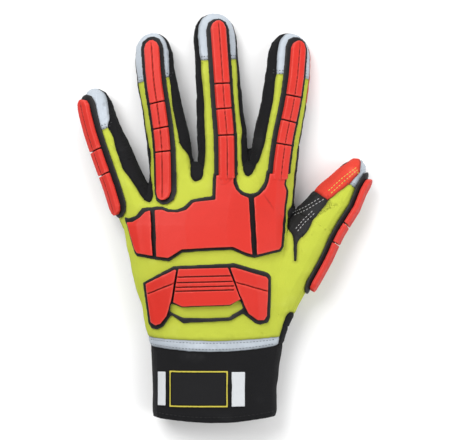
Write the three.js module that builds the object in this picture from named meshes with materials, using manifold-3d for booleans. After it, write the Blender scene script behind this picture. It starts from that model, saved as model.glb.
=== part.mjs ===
// Impact glove for a left hand. It lies palm down and keeps the form of the hand.
// Millimetres, +Z up, fingers toward +Y, thumb toward +X, the floor at Z = 0.
import * as THREE from 'three';
import { mergeVertices } from 'three/addons/utils/BufferGeometryUtils.js';
import Module from 'manifold-3d';

const wasm = await Module();
wasm.setup();

// Hand and wrist
const HAND_WIDTH = 102;
const PALM_LENGTH = 90;
const PALM_DEPTH = 34;
const WRIST_WIDTH = 75;
const WRIST_DEPTH = 32;
const CUFF_LENGTH = 46;

// Walls, clearances and guard thicknesses
const FABRIC_WALL = 1.8;
const GAP = 0.3;
const FLANGE_THICKNESS = 1.2;
const PAD_HEIGHT = 3;
const FLANGE_WIDTH = 14.6;
const PAD_WIDTH = 9.8;
const PAD_BREAK = 0.8;
const GROOVE_WIDTH = 0.8;
const GROOVE_DEPTH = 1;
const LABEL_THICKNESS = 0.7;
const LABEL_BORDER = 1.3;

// Name label, size tab and writing strip on the cuff
const LABEL_WIDTH = 35;
const LABEL_HEIGHT = 21.6;
const TAB_WIDTH = 8;
const TAB_HEIGHT = 20.6;
const STRIP_WIDTH = 4.8;
const STRIP_HEIGHT = 20.2;
const LABEL_SPACE = 2.2;
const LABEL_PLACE = { along: 0.55, side: -0.104 };

// Where the skins of guards and labels lie, measured outward from the fabric
const FLANGE_LOW = GAP;
const FLANGE_HIGH = FLANGE_LOW + FLANGE_THICKNESS;
const PAD_LOW = FLANGE_HIGH + GAP;
const PAD_HIGH = PAD_LOW + PAD_HEIGHT;
const LABEL_HIGH = GAP + LABEL_THICKNESS;

// Cross sections of flange and pad: share of the half width, then share of the height
const FLANGE_PROFILE = [[-1, 1], [-0.6, 1], [-0.2, 1], [0.2, 1], [0.6, 1], [1, 1]];
const PAD_PROFILE = [[-1, 0.55], [-0.76, 1], [-0.1, 1], [0, 0.6], [0.1, 1], [0.76, 1], [1, 0.55]];

// How finely the forms are faceted
const DIGIT_SIDES = 14;
const HAND_SIDES = 20;
const LINING_SIDES = 10;
const DOME_STEPS = [0.5, 0.85];
const DOME_END = 0.997;
const ROUND_ENDS = [0.03, 0.35, 1];
const SLICE_STEP = 36;
const STRIP_STEP = 12;
const BOW_STEPS = 8;
const DIGIT_SQUARENESS = 2.1;
const FAR = 300;
const MAX_SPARE = 12;
const MAX_SPREAD = 80;

// Share of a digit's length from which the edges of its strips turn
const EDGE_TURN = 0.55;

// Digits, each with its own length, width and depth in millimetres.
// root: place on the palm, in hand widths and palm lengths. heading and roll in degrees.
// back and palm: left and right edge of the back strip and of the palm side, each at the root
// and at the tip, in degrees round the digit from the middle of its back.
// guard: the guard's angle at the root and at the tip.
// spans: pads from root to tip, in digit lengths. tipSeam: where the reflective tip starts.
// plateEdge: front edge of the knuckle plate that the guard grows out of, in palm lengths.
// rows: along in lengths, side in widths, lift in palm depths, wide and deep half sizes.
const DIGITS = {
  pinky: {
    length: 81.6, width: 22, depth: 20, cap: 0.135, root: [-0.435, 0.367], heading: -18.4, roll: -30,
    back: [[-80, -80], [36, 105]], palm: [[128, 132], [280, 280]], guard: [-24, -12],
    flange: [0.02, 0.955], tipSeam: 0.66, crease: 0.4,
    spans: [[0.045, 0.365], [0.365, 0.545], [0.545, 0.925]],
    rows: [
      { along: -0.2, side: 0.06, lift: 0.42, wide: 0.4, deep: 0.4 },
      { along: 0, side: 0, lift: 0.4, wide: 0.545, deep: 0.54 },
      { along: 0.26, side: -0.02, lift: 0.385, wide: 0.535, deep: 0.52 },
      { along: 0.5, side: -0.09, lift: 0.355, wide: 0.51, deep: 0.48 },
      { along: 0.75, side: -0.14, lift: 0.3, wide: 0.455, deep: 0.435 },
      { along: 0.865, side: -0.125, lift: 0.255, wide: 0.42, deep: 0.41 },
    ],
  },
  ring: {
    length: 108.2, width: 24.6, depth: 21, cap: 0.126, root: [-0.2235, 0.4], heading: -7, roll: -10,
    back: [[-62, -90], [38, 75]], palm: [[110, 110], [273, 248]], guard: [-12, 8],
    flange: [0.03, 0.965], tipSeam: 0.725, crease: 0.36,
    spans: [[0.052, 0.32], [0.32, 0.453], [0.453, 0.592], [0.592, 0.938]],
    rows: [
      { along: -0.16, side: 0, lift: 0.43, wide: 0.45, deep: 0.44 },
      { along: 0, side: 0, lift: 0.42, wide: 0.55, deep: 0.54 },
      { along: 0.185, side: 0.05, lift: 0.41, wide: 0.56, deep: 0.53 },
      { along: 0.37, side: 0.077, lift: 0.39, wide: 0.555, deep: 0.505 },
      { along: 0.555, side: 0.03, lift: 0.365, wide: 0.515, deep: 0.475 },
      { along: 0.72, side: -0.03, lift: 0.325, wide: 0.495, deep: 0.44 },
      { along: 0.874, side: -0.035, lift: 0.26, wide: 0.48, deep: 0.415 },
    ],
  },
  middle: {
    length: 116.5, width: 27, depth: 22, cap: 0.129, root: [0.0588, 0.433], heading: -2.4, roll: 2,
    back: [[-44, -60], [54, 90]], palm: [[98, 116], [258, 258]], guard: [6, 7],
    flange: [0, 0.955], plateEdge: 0.638, tipSeam: 0.74, crease: 0.36,
    spans: [[0.13, 0.35], [0.35, 0.484], [0.484, 0.614], [0.614, 0.94]],
    rows: [
      { along: -0.15, side: 0, lift: 0.44, wide: 0.45, deep: 0.44 },
      { along: 0, side: 0.02, lift: 0.44, wide: 0.56, deep: 0.545 },
      { along: 0.18, side: 0.044, lift: 0.43, wide: 0.565, deep: 0.53 },
      { along: 0.355, side: 0.062, lift: 0.412, wide: 0.57, deep: 0.5 },
      { along: 0.52, side: 0.037, lift: 0.385, wide: 0.522, deep: 0.47 },
      { along: 0.685, side: 0.022, lift: 0.35, wide: 0.5, deep: 0.44 },
      { along: 0.871, side: 0, lift: 0.268, wide: 0.493, deep: 0.405 },
    ],
  },
  index: {
    length: 104.9, width: 28, depth: 21.5, cap: 0.142, root: [0.353, 0.433], heading: 5.7, roll: 9,
    back: [[-36, -46], [64, 70]], palm: [[64, 70], [250, 250]], guard: [6, 11],
    flange: [0, 0.965], plateEdge: 0.65, tipSeam: 0.735, crease: 0.36,
    spans: [[0.14, 0.345], [0.345, 0.482], [0.482, 0.62], [0.62, 0.937]],
    rows: [
      { along: -0.3, side: -0.12, lift: 0.44, wide: 0.36, deep: 0.4 },
      { along: 0, side: -0.02, lift: 0.425, wide: 0.5, deep: 0.53 },
      { along: 0.197, side: -0.054, lift: 0.415, wide: 0.518, deep: 0.53 },
      { along: 0.397, side: -0.032, lift: 0.397, wide: 0.525, deep: 0.5 },
      { along: 0.58, side: 0.04, lift: 0.37, wide: 0.51, deep: 0.475 },
      { along: 0.76, side: 0.068, lift: 0.325, wide: 0.5, deep: 0.445 },
      { along: 0.858, side: 0.06, lift: 0.278, wide: 0.487, deep: 0.425 },
    ],
  },
  thumb: {
    length: 110.3, width: 26, depth: 30, cap: 0.148, root: [0.3294, -0.3067], heading: 30.7, roll: 72,
    back: [[-84, -84], [100, 100]], palm: [[100, 100], [276, 276]], guard: [4, -2],
    flange: [0.2, 0.955], tipSeam: 0.83, crease: 0.56, wrapFrom: 0.46,
    spans: [[0.225, 0.513], [0.513, 0.66], [0.66, 0.935]],
    rows: [
      { along: 0, side: 0, lift: 0.44, wide: 0.46, deep: 0.467 },
      { along: 0.204, side: -0.077, lift: 0.455, wide: 0.5, deep: 0.483 },
      { along: 0.39, side: -0.115, lift: 0.455, wide: 0.5, deep: 0.507 },
      { along: 0.58, side: -0.16, lift: 0.425, wide: 0.48, deep: 0.487 },
      { along: 0.742, side: -0.062, lift: 0.385, wide: 0.452, deep: 0.42 },
      { along: 0.852, side: -0.03, lift: 0.335, wide: 0.385, deep: 0.327 },
    ],
  },
};

// Palm, from the wrist line to the finger roots.
// along in palm lengths, side and wide in hand widths, lift and deep in palm depths.
const PALM_ROWS = [
  { along: -0.4, side: 0.029, lift: 0.47, wide: 0.418, deep: 0.49 },
  { along: -0.233, side: 0.015, lift: 0.48, wide: 0.432, deep: 0.52 },
  { along: -0.067, side: -0.006, lift: 0.48, wide: 0.457, deep: 0.53 },
  { along: 0.133, side: -0.021, lift: 0.465, wide: 0.477, deep: 0.515 },
  { along: 0.3, side: -0.036, lift: 0.45, wide: 0.486, deep: 0.485 },
  { along: 0.433, side: -0.015, lift: 0.435, wide: 0.46, deep: 0.44 },
  { along: 0.547, side: 0.026, lift: 0.42, wide: 0.4, deep: 0.38 },
  { along: 0.653, side: 0.053, lift: 0.41, wide: 0.34, deep: 0.3 },
];
const PALM_CAP = 0.07;
const PALM_SQUARENESS = 2.5;

// Cuff, from past its hem to the wrist line at half a palm length.
// along in cuff lengths below the wrist, side and wide in wrist widths, the rest in depths.
const CUFF_ROWS = [
  { along: -1.12, side: 0.016, lift: 0.49, wide: 0.495, deep: 0.5 },
  { along: -0.5, side: 0.025, lift: 0.485, wide: 0.5, deep: 0.495 },
  { along: -0.05, side: 0.035, lift: 0.49, wide: 0.525, deep: 0.51 },
];
const WRIST_LINE = -0.5;

// Plan outlines on the back of the hand, in hand widths and palm lengths from mid palm
const OUTLINES = {
  knuckleFlange: [
    [-0.512, 0.353], [-0.482, 0.347], [-0.441, 0.363], [-0.406, 0.413], [-0.365, 0.421],
    [-0.288, 0.425], [-0.25, 0.407], [-0.203, 0.403], [-0.163, 0.423], [-0.124, 0.467],
    [-0.1, 0.475], [0, 0.49], [0.006, 0.638], [0.144, 0.638], [0.147, 0.587], [0.159, 0.547],
    [0.185, 0.518], [0.224, 0.509], [0.262, 0.518], [0.288, 0.547], [0.306, 0.587],
    [0.318, 0.66], [0.441, 0.64], [0.435, 0.57], [0.448, 0.53], [0.446, 0.487],
    [0.436, 0.393], [0.428, 0.26], [0.418, 0.153], [0.402, 0.123], [0.25, 0.083],
    [0.212, 0.091], [0.118, 0.136], [-0.171, 0.118], [-0.25, 0.06], [-0.329, 0.072],
    [-0.435, 0.093], [-0.453, 0.113],
  ],
  knucklePadPinkySide: [
    [-0.5, 0.317], [-0.462, 0.321], [-0.419, 0.35], [-0.389, 0.387], [-0.358, 0.396],
    [-0.346, 0.098], [-0.435, 0.114], [-0.45, 0.137],
  ],
  knucklePadCentre: [
    [-0.332, 0.399], [-0.288, 0.401], [-0.256, 0.385], [-0.2, 0.383], [-0.149, 0.401],
    [-0.109, 0.447], [-0.094, 0.453], [0.021, 0.469], [0.026, 0.627], [0.124, 0.627],
    [0.126, 0.577], [0.141, 0.533], [0.171, 0.5], [0.215, 0.48], [0.235, 0.105],
    [0.215, 0.112], [0.122, 0.157], [-0.175, 0.14], [-0.255, 0.084], [-0.321, 0.093],
  ],
  knucklePadIndexSide: [
    [0.246, 0.48], [0.276, 0.498], [0.309, 0.533], [0.327, 0.58], [0.338, 0.64],
    [0.431, 0.627], [0.422, 0.567], [0.434, 0.527], [0.432, 0.487], [0.422, 0.393],
    [0.414, 0.26], [0.404, 0.16], [0.393, 0.14], [0.264, 0.105],
  ],
  handFlange: [
    [-0.403, -0.08], [-0.224, 0.031], [0.129, 0.051], [0.329, -0.013], [0.347, -0.04],
    [0.342, -0.307], [0.327, -0.343], [0.282, -0.357], [0.253, -0.347], [0.181, -0.283],
    [0.112, -0.327], [-0.165, -0.347], [-0.235, -0.293], [-0.282, -0.37], [-0.318, -0.391],
    [-0.353, -0.384], [-0.372, -0.349],
  ],
  handWindow: [
    [-0.235, -0.217], [-0.174, -0.243], [0.107, -0.232], [0.162, -0.193], [0.18, -0.246],
    [0.102, -0.303], [-0.161, -0.311], [-0.244, -0.269],
  ],
  handPadLeft: [
    [-0.385, -0.088], [-0.218, 0.007], [-0.205, 0.004], [-0.238, -0.2], [-0.262, -0.297],
    [-0.3, -0.35], [-0.329, -0.361], [-0.356, -0.34],
  ],
  handPadCentre: [
    [-0.192, 0.011], [0.094, 0.02], [0.168, -0.187], [0.106, -0.224], [-0.172, -0.235],
    [-0.226, -0.207],
  ],
  handPadRight: [
    [0.108, 0.021], [0.129, 0.021], [0.315, -0.04], [0.327, -0.057], [0.321, -0.297],
    [0.303, -0.325], [0.268, -0.325], [0.215, -0.283], [0.185, -0.22],
  ],
  pinkyRingNotch: [
    [-0.603, 0.84], [-0.576, 0.773], [-0.538, 0.693], [-0.482, 0.613], [-0.435, 0.533],
    [-0.409, 0.48], [-0.394, 0.45],
    [-0.371, 0.44], [-0.349, 0.453], [-0.34, 0.487], [-0.348, 0.573], [-0.36, 0.64],
    [-0.355, 0.84],
  ],
  ringMiddleNotch: [
    [-0.215, 0.91], [-0.205, 0.853], [-0.172, 0.807], [-0.138, 0.767], [-0.129, 0.727],
    [-0.129, 0.627], [-0.119, 0.593], [-0.091, 0.578], [-0.064, 0.593], [-0.046, 0.627],
    [-0.033, 0.91],
  ],
  middleIndexNotch: [
    [0.166, 0.92], [0.176, 0.667], [0.188, 0.628], [0.215, 0.613], [0.241, 0.63],
    [0.255, 0.68], [0.286, 0.753], [0.334, 0.92],
  ],
  gusset: [
    [0.385, -0.52], [0.403, -0.4], [0.418, -0.333], [0.435, -0.287], [0.458, -0.262],
    [0.479, -0.287], [0.484, -0.32], [0.576, -0.32], [0.576, -0.52],
  ],
  webTongue: [
    [0.45, 0.32], [0.465, 0.273], [0.476, 0.207], [0.478, 0.06], [0.486, 0.04],
    [0.494, 0.06], [0.495, 0.18], [0.512, 0.213], [0.535, 0.253], [0.559, 0.287],
    [0.588, 0.32], [0.47, 0.42], [0.44, 0.4],
  ],
  thumbPatch: [
    [0.874, 0.8], [0.592, 0.53], [0.676, 0.467], [0.765, 0.54], [0.868, 0.642], [0.874, 0.697],
  ],
};

// Narrow grooves in the plates of the hand guard, each from one point to another
const GROOVES = {
  left: [[[-0.4, -0.165], [-0.215, -0.08]]],
  centre: [-0.042, -0.079, -0.109, -0.135].map((along) => [[-0.215, along], [0.13, along + 0.01]]),
  right: [[[0.135, -0.073], [0.345, -0.142]]],
};

// Reflective band across the back of the wrist, as two shallow arcs in plan
const BAND_TOP = { edge: -0.413, sag: 0.05 };
const BAND_BOTTOM = { edge: -0.455, sag: 0.08 };
const HEM = { edge: -1.83, sag: 0.165 };
const BOW_REACH = 0.75;

// Height of the side seam between back and palm, in palm depths
const SIDE_SEAM = 0.34;

// Thumb side of the palm piece in hand widths, and how far it runs round the ball of the thumb
const PALM_EDGE = 0.46;
const BALL_ANGLE = 90;

// Red patch on the thumb side of the index finger, and the wall that the thumb's patch is cut from
const INDEX_PATCH = { from: 0.6, to: 0.93, left: [71, 71], right: [128, 128] };
const THUMB_WRAP = [[62, 62], [328, 328]];

const degrees = THREE.MathUtils.degToRad;
const lerp = THREE.MathUtils.lerp;
const FULL_TURN = 360;

// Solids from closed geometry

function signedVolume(positions, indices) {
  const corners = [new THREE.Vector3(), new THREE.Vector3(), new THREE.Vector3()];
  let total = 0;
  for (let i = 0; i < indices.length; i += 3) {
    corners.forEach((corner, k) => corner.fromArray(positions, indices[i + k] * 3));
    total += corners[0].dot(corners[1].clone().cross(corners[2]));
  }
  return total;
}

function solid(geometry) {
  geometry.deleteAttribute('normal');
  geometry.deleteAttribute('uv');
  const merged = mergeVertices(geometry, 1e-5);
  const positions = new Float32Array(merged.attributes.position.array);
  const triangles = new Uint32Array(merged.index.array);
  if (signedVolume(positions, triangles) < 0) {
    triangles.reverse();
  }
  return new wasm.Manifold(
    new wasm.Mesh({ numProp: 3, vertProperties: positions, triVerts: triangles }),
  );
}

function join(bodies) {
  return bodies.reduce((whole, body) => whole.add(body));
}

// A solid through rings of points. A ring runs over its top, then back under it.
function loftSolid(rings) {
  const count = rings[0].length;
  const positions = rings.flat().flatMap((point) => point.toArray());
  const indices = [];
  const quad = (a, b, c, d) => indices.push(a, b, c, a, c, d);
  for (let i = 0; i + 1 < rings.length; i += 1) {
    for (let j = 0; j < count; j += 1) {
      const a = i * count + j;
      const b = i * count + ((j + 1) % count);
      quad(a, b, b + count, a + count);
    }
  }
  const end = (rings.length - 1) * count;
  for (let j = 0; j + 1 < count / 2; j += 1) {
    const k = count - 1 - j;
    quad(j, k, k - 1, j + 1);
    quad(end + j, end + j + 1, end + k - 1, end + k);
  }
  const geometry = new THREE.BufferGeometry();
  geometry.setAttribute('position', new THREE.Float32BufferAttribute(positions, 3));
  geometry.setIndex(indices);
  return solid(geometry);
}

function blockSolid(low, high) {
  const size = high.clone().sub(low);
  const geometry = new THREE.BoxGeometry(size.x, size.y, size.z);
  const middle = low.clone().add(high).multiplyScalar(0.5);
  geometry.translate(middle.x, middle.y, middle.z);
  return solid(geometry);
}

// Forms: a centre line with an oval section that grows and shrinks along it

function makeForm(rows, cap, roll, squareness, sides) {
  return {
    path: new THREE.CatmullRomCurve3(rows.map((row) => row.centre)),
    sizes: new THREE.CatmullRomCurve3(rows.map((row) => new THREE.Vector3(row.wide, row.deep, 0))),
    marks: rows.map((row) => row.mark),
    last: rows.length - 1,
    cap,
    roll: degrees(roll),
    squareness,
    sides,
  };
}

function digitForm(name) {
  const digit = DIGITS[name];
  const heading = degrees(digit.heading);
  const ahead = new THREE.Vector3(Math.sin(heading), Math.cos(heading), 0);
  const across = new THREE.Vector3(Math.cos(heading), -Math.sin(heading), 0);
  const rows = digit.rows.map((row) => ({
    mark: row.along * digit.length,
    centre: new THREE.Vector3(digit.root[0] * HAND_WIDTH, digit.root[1] * PALM_LENGTH, 0)
      .addScaledVector(ahead, row.along * digit.length)
      .addScaledVector(across, row.side * digit.width)
      .setZ(row.lift * PALM_DEPTH),
    wide: row.wide * digit.width,
    deep: row.deep * digit.depth,
  }));
  return makeForm(rows, digit.cap * digit.length, digit.roll, DIGIT_SQUARENESS, DIGIT_SIDES);
}

function palmForm() {
  const wrist = WRIST_LINE * PALM_LENGTH;
  const cuff = CUFF_ROWS.map((row) => ({
    mark: wrist + row.along * CUFF_LENGTH,
    centre: new THREE.Vector3(
      row.side * WRIST_WIDTH, wrist + row.along * CUFF_LENGTH, row.lift * WRIST_DEPTH),
    wide: row.wide * WRIST_WIDTH,
    deep: row.deep * WRIST_DEPTH,
  }));
  const palm = PALM_ROWS.map((row) => ({
    mark: row.along * PALM_LENGTH,
    centre: new THREE.Vector3(
      row.side * HAND_WIDTH, row.along * PALM_LENGTH, row.lift * PALM_DEPTH),
    wide: row.wide * HAND_WIDTH,
    deep: row.deep * PALM_DEPTH,
  }));
  const form = makeForm(
    [...cuff, ...palm], PALM_CAP * PALM_LENGTH, 0, PALM_SQUARENESS, HAND_SIDES);
  return { ...form, straight: true };
}

// Station along a form for a distance in millimetres. Past the last row lies the domed end,
// which reaches further at an offset from the skin.
function stationAt(form, mark, offset = 0) {
  const { marks, last, cap } = form;
  if (mark >= marks[last]) {
    return last + Math.min((mark - marks[last]) / (cap + offset), DOME_END);
  }
  const next = Math.max(1, marks.findIndex((value) => value > mark));
  return next - 1 + (mark - marks[next - 1]) / (marks[next] - marks[next - 1]);
}

// The distance along a form for a station, as a share of its whole length
function shareAt(form, station) {
  const { marks, last, cap } = form;
  const row = Math.min(Math.floor(station), last - 1);
  const mark = station < last
    ? lerp(marks[row], marks[row + 1], station - row)
    : marks[last] + (station - last) * cap;
  return mark / (marks[last] + cap);
}

function sectionAt(form, station) {
  const t = THREE.MathUtils.clamp(station / form.last, 0, 1);
  const dome = Math.max(0, station - form.last);
  const ahead = form.straight ? new THREE.Vector3(0, 1, 0) : form.path.getTangent(t);
  const level = new THREE.Vector3().crossVectors(ahead, new THREE.Vector3(0, 0, 1)).normalize();
  const rise = new THREE.Vector3().crossVectors(level, ahead);
  const size = form.sizes.getPoint(t);
  const cos = Math.cos(form.roll);
  const sin = Math.sin(form.roll);
  return {
    centre: form.path.getPoint(t),
    ahead,
    side: level.clone().multiplyScalar(cos).addScaledVector(rise, -sin),
    up: rise.clone().multiplyScalar(cos).addScaledVector(level, sin),
    wide: size.x,
    deep: size.y,
    dome,
    shrink: Math.sqrt(Math.max(0, 1 - dome * dome)),
  };
}

// Point on a form's skin, at an angle from the middle of its back and at an outward offset
function skinPoint(form, section, angle, offset) {
  const power = 2 / form.squareness;
  const bend = (value) => Math.sign(value) * Math.abs(value) ** power;
  const across = (section.wide + offset) * section.shrink * bend(Math.sin(degrees(angle)));
  const above = (section.deep + offset) * section.shrink * bend(Math.cos(degrees(angle)));
  return section.centre.clone()
    .addScaledVector(section.ahead, (form.cap + offset) * section.dome)
    .addScaledVector(section.side, across)
    .addScaledVector(section.up, above);
}

function formStations(form, from, to) {
  const inner = [];
  for (let row = 0; row <= form.last; row += 1) {
    inner.push(row);
  }
  DOME_STEPS.forEach((step) => inner.push(form.last + step));
  const between = inner.filter((value) => value > from + 0.03 && value < to - 0.03);
  return [from, ...between, to];
}

function formSolid(form, offset, sides = form.sides, to = FAR) {
  const stations = formStations(form, 0, stationAt(form, to));
  const step = FULL_TURN / sides;
  return loftSolid(stations.map((station) => {
    const section = sectionAt(form, station);
    return Array.from({ length: sides }, (_, j) => (
      skinPoint(form, section, -90 + (j + 0.5) * step, offset)));
  }));
}

// Angle of an edge that runs along a digit, and turns past its middle joint toward the tip
function edgeAngle([root, tip], share) {
  const turn = THREE.MathUtils.clamp((share - EDGE_TURN) / (1 - EDGE_TURN), 0, 1);
  return lerp(root, tip, turn);
}

function turnEdge(edge, angle) {
  return edge.map((value) => value + angle);
}

// A slice of a form's skin, or of the space round it, between two edges and two marks
function sliceSolid(form, zone, margin, low, high) {
  const from = Math.max(0, stationAt(form, zone.from - margin));
  const to = stationAt(form, zone.to + margin);
  const steps = Math.max(2, Math.round((zone.right[0] - zone.left[0]) / SLICE_STEP));
  return loftSolid(formStations(form, from, to).map((station) => {
    const section = sectionAt(form, station);
    const share = shareAt(form, station);
    const turn = THREE.MathUtils.radToDeg(margin / (section.wide * section.shrink));
    const spare = THREE.MathUtils.clamp(turn, -MAX_SPARE, MAX_SPARE);
    const left = edgeAngle(zone.left, share) - spare;
    const right = edgeAngle(zone.right, share) + spare;
    const over = [];
    const under = [];
    for (let j = 0; j <= steps; j += 1) {
      const angle = lerp(left, right, j / steps);
      over.push(skinPoint(form, section, angle, high));
      under.unshift(skinPoint(form, section, angle, low));
    }
    return [...over, ...under];
  }));
}

// Lifts a point that lies under the back of the hand out to an offset from it
function drape(point, offset) {
  const { marks, last, squareness } = palm;
  if (point.y >= marks[last]) {
    return point;
  }
  const row = marks.findIndex((mark) => mark > point.y);
  const share = (point.y - marks[row - 1]) / (marks[row] - marks[row - 1]);
  const before = sectionAt(palm, row - 1);
  const after = sectionAt(palm, row);
  const middle = before.centre.clone().lerp(after.centre, share);
  const across = Math.abs(point.x - middle.x) / (lerp(before.wide, after.wide, share) + offset);
  if (across < 1) {
    const rise = (1 - across ** squareness) ** (1 / squareness);
    const top = middle.z + (lerp(before.deep, after.deep, share) + offset) * rise;
    point.setZ(Math.max(point.z, top));
  }
  return point;
}

// A long strip on a digit's back with round or square ends, for flanges and pads
function stripSolid(form, strip) {
  const half = strip.width / 2;
  const ends = ROUND_ENDS.map((share) => share * half);
  const first = strip.roundFrom ? ends.map((distance) => strip.from + distance) : [strip.from];
  const last = strip.roundTo ? ends.map((distance) => strip.to - distance) : [strip.to];
  const reach = strip.to - strip.from;
  const pieces = Math.ceil(reach / STRIP_STEP);
  const inner = Array.from({ length: pieces }, (_, i) => strip.from + (reach * i) / pieces)
    .filter((mark) => mark > Math.max(...first) + 1 && mark < Math.min(...last) - 1);
  const marks = [...first, ...inner, ...last].sort((a, b) => a - b);
  return loftSolid(marks.map((mark) => {
    const section = sectionAt(form, stationAt(form, mark, strip.high));
    const fromEnd = Math.min(
      strip.roundFrom ? mark - strip.from : half,
      strip.roundTo ? strip.to - mark : half,
    );
    const rest = Math.max(0, half - fromEnd);
    const radius = (section.wide + strip.high) * section.shrink;
    const turn = Math.sqrt(half * half - rest * rest) / radius;
    const spread = Math.min(MAX_SPREAD, THREE.MathUtils.radToDeg(turn));
    const centre = lerp(strip.angles[0], strip.angles[1], mark / strip.length);
    const over = [];
    const under = [];
    strip.profile.forEach(([share, height]) => {
      const angle = centre + share * spread;
      const high = lerp(strip.low, strip.high, height);
      over.push(drape(skinPoint(form, section, angle, high), high));
      under.unshift(drape(skinPoint(form, section, angle, strip.low), strip.low));
    });
    return [...over, ...under];
  }));
}

// Plan outlines and columns

function planOutline(shares) {
  return shares.map(([x, y]) => new THREE.Vector2(x * HAND_WIDTH, y * PALM_LENGTH));
}

// An outline moved outward by a margin, square to its edges
function grow(outline, margin) {
  const turn = THREE.ShapeUtils.isClockWise(outline) ? -1 : 1;
  return outline.map((point, i) => {
    const before = outline[(i + outline.length - 1) % outline.length];
    const after = outline[(i + 1) % outline.length];
    const first = point.clone().sub(before).normalize();
    const second = after.clone().sub(point).normalize();
    const normal = new THREE.Vector2(first.y + second.y, -first.x - second.x).normalize();
    const miter = Math.max(0.5, normal.dot(new THREE.Vector2(first.y, -first.x)));
    return point.clone().addScaledVector(normal, (turn * margin) / miter);
  });
}

function columnSolid(outline, low, high) {
  const geometry = new THREE.ExtrudeGeometry(new THREE.Shape(outline), {
    depth: high - low,
    bevelEnabled: false,
  });
  geometry.translate(0, 0, low);
  return solid(geometry);
}

function rectangle(centreX, centreY, width, height) {
  return [[-1, -1], [1, -1], [1, 1], [-1, 1]].map(([x, y]) => (
    new THREE.Vector2(centreX + (x * width) / 2, centreY + (y * height) / 2)));
}

// A line across the wrist that bows away from the fingers, from left to right
function bowedLine(curve, length, shift) {
  return Array.from({ length: BOW_STEPS + 1 }, (_, i) => {
    const across = lerp(-1, 1, i / BOW_STEPS);
    const y = length * (curve.edge - curve.sag * (1 - across * across)) + shift;
    return new THREE.Vector2(across * BOW_REACH * WRIST_WIDTH, y);
  });
}

// The hand with the roots of its digits as one body, at an offset from its outer skin

const palm = palmForm();
const digits = Object.fromEntries(Object.keys(DIGITS).map((name) => [name, digitForm(name)]));
const fingers = ['pinky', 'ring', 'middle', 'index'];
const seamHeight = SIDE_SEAM * PALM_DEPTH;
const ROOT_OVERLAP = 0.6;
const PLATE_OVERLAP = 1;
const ROOT_REACH = 2;

function markOf(name, share) {
  return DIGITS[name].length * share;
}

function creaseOf(name) {
  return markOf(name, DIGITS[name].crease);
}

function belowHeight(height) {
  return blockSolid(new THREE.Vector3(-FAR, -FAR, -FAR), new THREE.Vector3(FAR, FAR, height));
}

function trunkBody(offset) {
  const roots = Object.keys(DIGITS).map((name) => (
    formSolid(digits[name], offset, DIGIT_SIDES, creaseOf(name))));
  return join([formSolid(palm, offset), ...roots]);
}

// The hollow that the hand fills. It runs past the roots, so that they stay open.
function liningBody() {
  const roots = Object.keys(DIGITS).map((name) => (
    formSolid(digits[name], -FABRIC_WALL, LINING_SIDES, creaseOf(name) + ROOT_REACH)));
  return join([formSolid(palm, -FABRIC_WALL, LINING_SIDES + 2), ...roots]);
}

// The space between two offsets from the hand and some of its digits
function skinLayer(low, high, names) {
  const [inside, outside] = [low, high].map((offset) => join([
    formSolid(palm, offset),
    ...names.map((name) => formSolid(digits[name], offset, DIGIT_SIDES, creaseOf(name))),
  ]));
  return outside.subtract(inside);
}

function hemCut() {
  const hem = bowedLine({ edge: HEM.edge / 2, sag: HEM.sag / 2 }, 2 * CUFF_LENGTH, 0);
  const corners = [new THREE.Vector2(FAR, -FAR), new THREE.Vector2(-FAR, -FAR)];
  return columnSolid([...hem, ...corners], -FAR, FAR);
}

function trunkShell() {
  const outer = trunkBody(0).subtract(belowHeight(0));
  const inner = liningBody().subtract(belowHeight(FABRIC_WALL));
  return outer.subtract(inner).subtract(hemCut());
}

// Zones of the shell. Each takes a margin by which it grows or shrinks beside a gap.

const CUT_SPARE = 1.5;
const CUT_LOW = -FABRIC_WALL - CUT_SPARE;
const CUT_HIGH = CUT_SPARE;

function rootZone(name, from, left, right, margin) {
  const zone = { from, to: creaseOf(name) + ROOT_REACH, left, right };
  return sliceSolid(digits[name], zone, margin, CUT_LOW, CUT_HIGH);
}

function tongueZone(margin) {
  return columnSolid(grow(planOutline(OUTLINES.webTongue), margin), 0, FAR);
}

function palmZone(margin) {
  const index = rootZone('index', 0, ...DIGITS.index.palm, margin);
  const { palm: thumbPalm, wrapFrom } = DIGITS.thumb;
  const thumbFront = rootZone('thumb', markOf('thumb', wrapFrom), ...thumbPalm, margin);
  const thumbUnder = rootZone('thumb', 0, thumbPalm[0], turnEdge(thumbPalm[0], BALL_ANGLE), margin);
  const low = new THREE.Vector3(-FAR, -FAR, -FAR);
  const high = new THREE.Vector3(PALM_EDGE * HAND_WIDTH, PALM_LENGTH, seamHeight + margin);
  return join([index, thumbFront, thumbUnder, blockSolid(low, high), tongueZone(margin)]);
}

function bandZone(margin) {
  const top = bowedLine(BAND_TOP, PALM_LENGTH, margin);
  const bottom = bowedLine(BAND_BOTTOM, PALM_LENGTH, -margin).reverse();
  return columnSolid([...top, ...bottom].reverse(), seamHeight - margin, FAR);
}

function cuffZone(margin) {
  const top = bowedLine(BAND_BOTTOM, PALM_LENGTH, margin);
  const corners = [new THREE.Vector2(FAR, -FAR), new THREE.Vector2(-FAR, -FAR)];
  return columnSolid([...top, ...corners], -FAR, FAR);
}

function planZone(outline, low, margin) {
  return columnSolid(grow(planOutline(outline), margin), low - margin, FAR);
}

// Pieces

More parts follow.
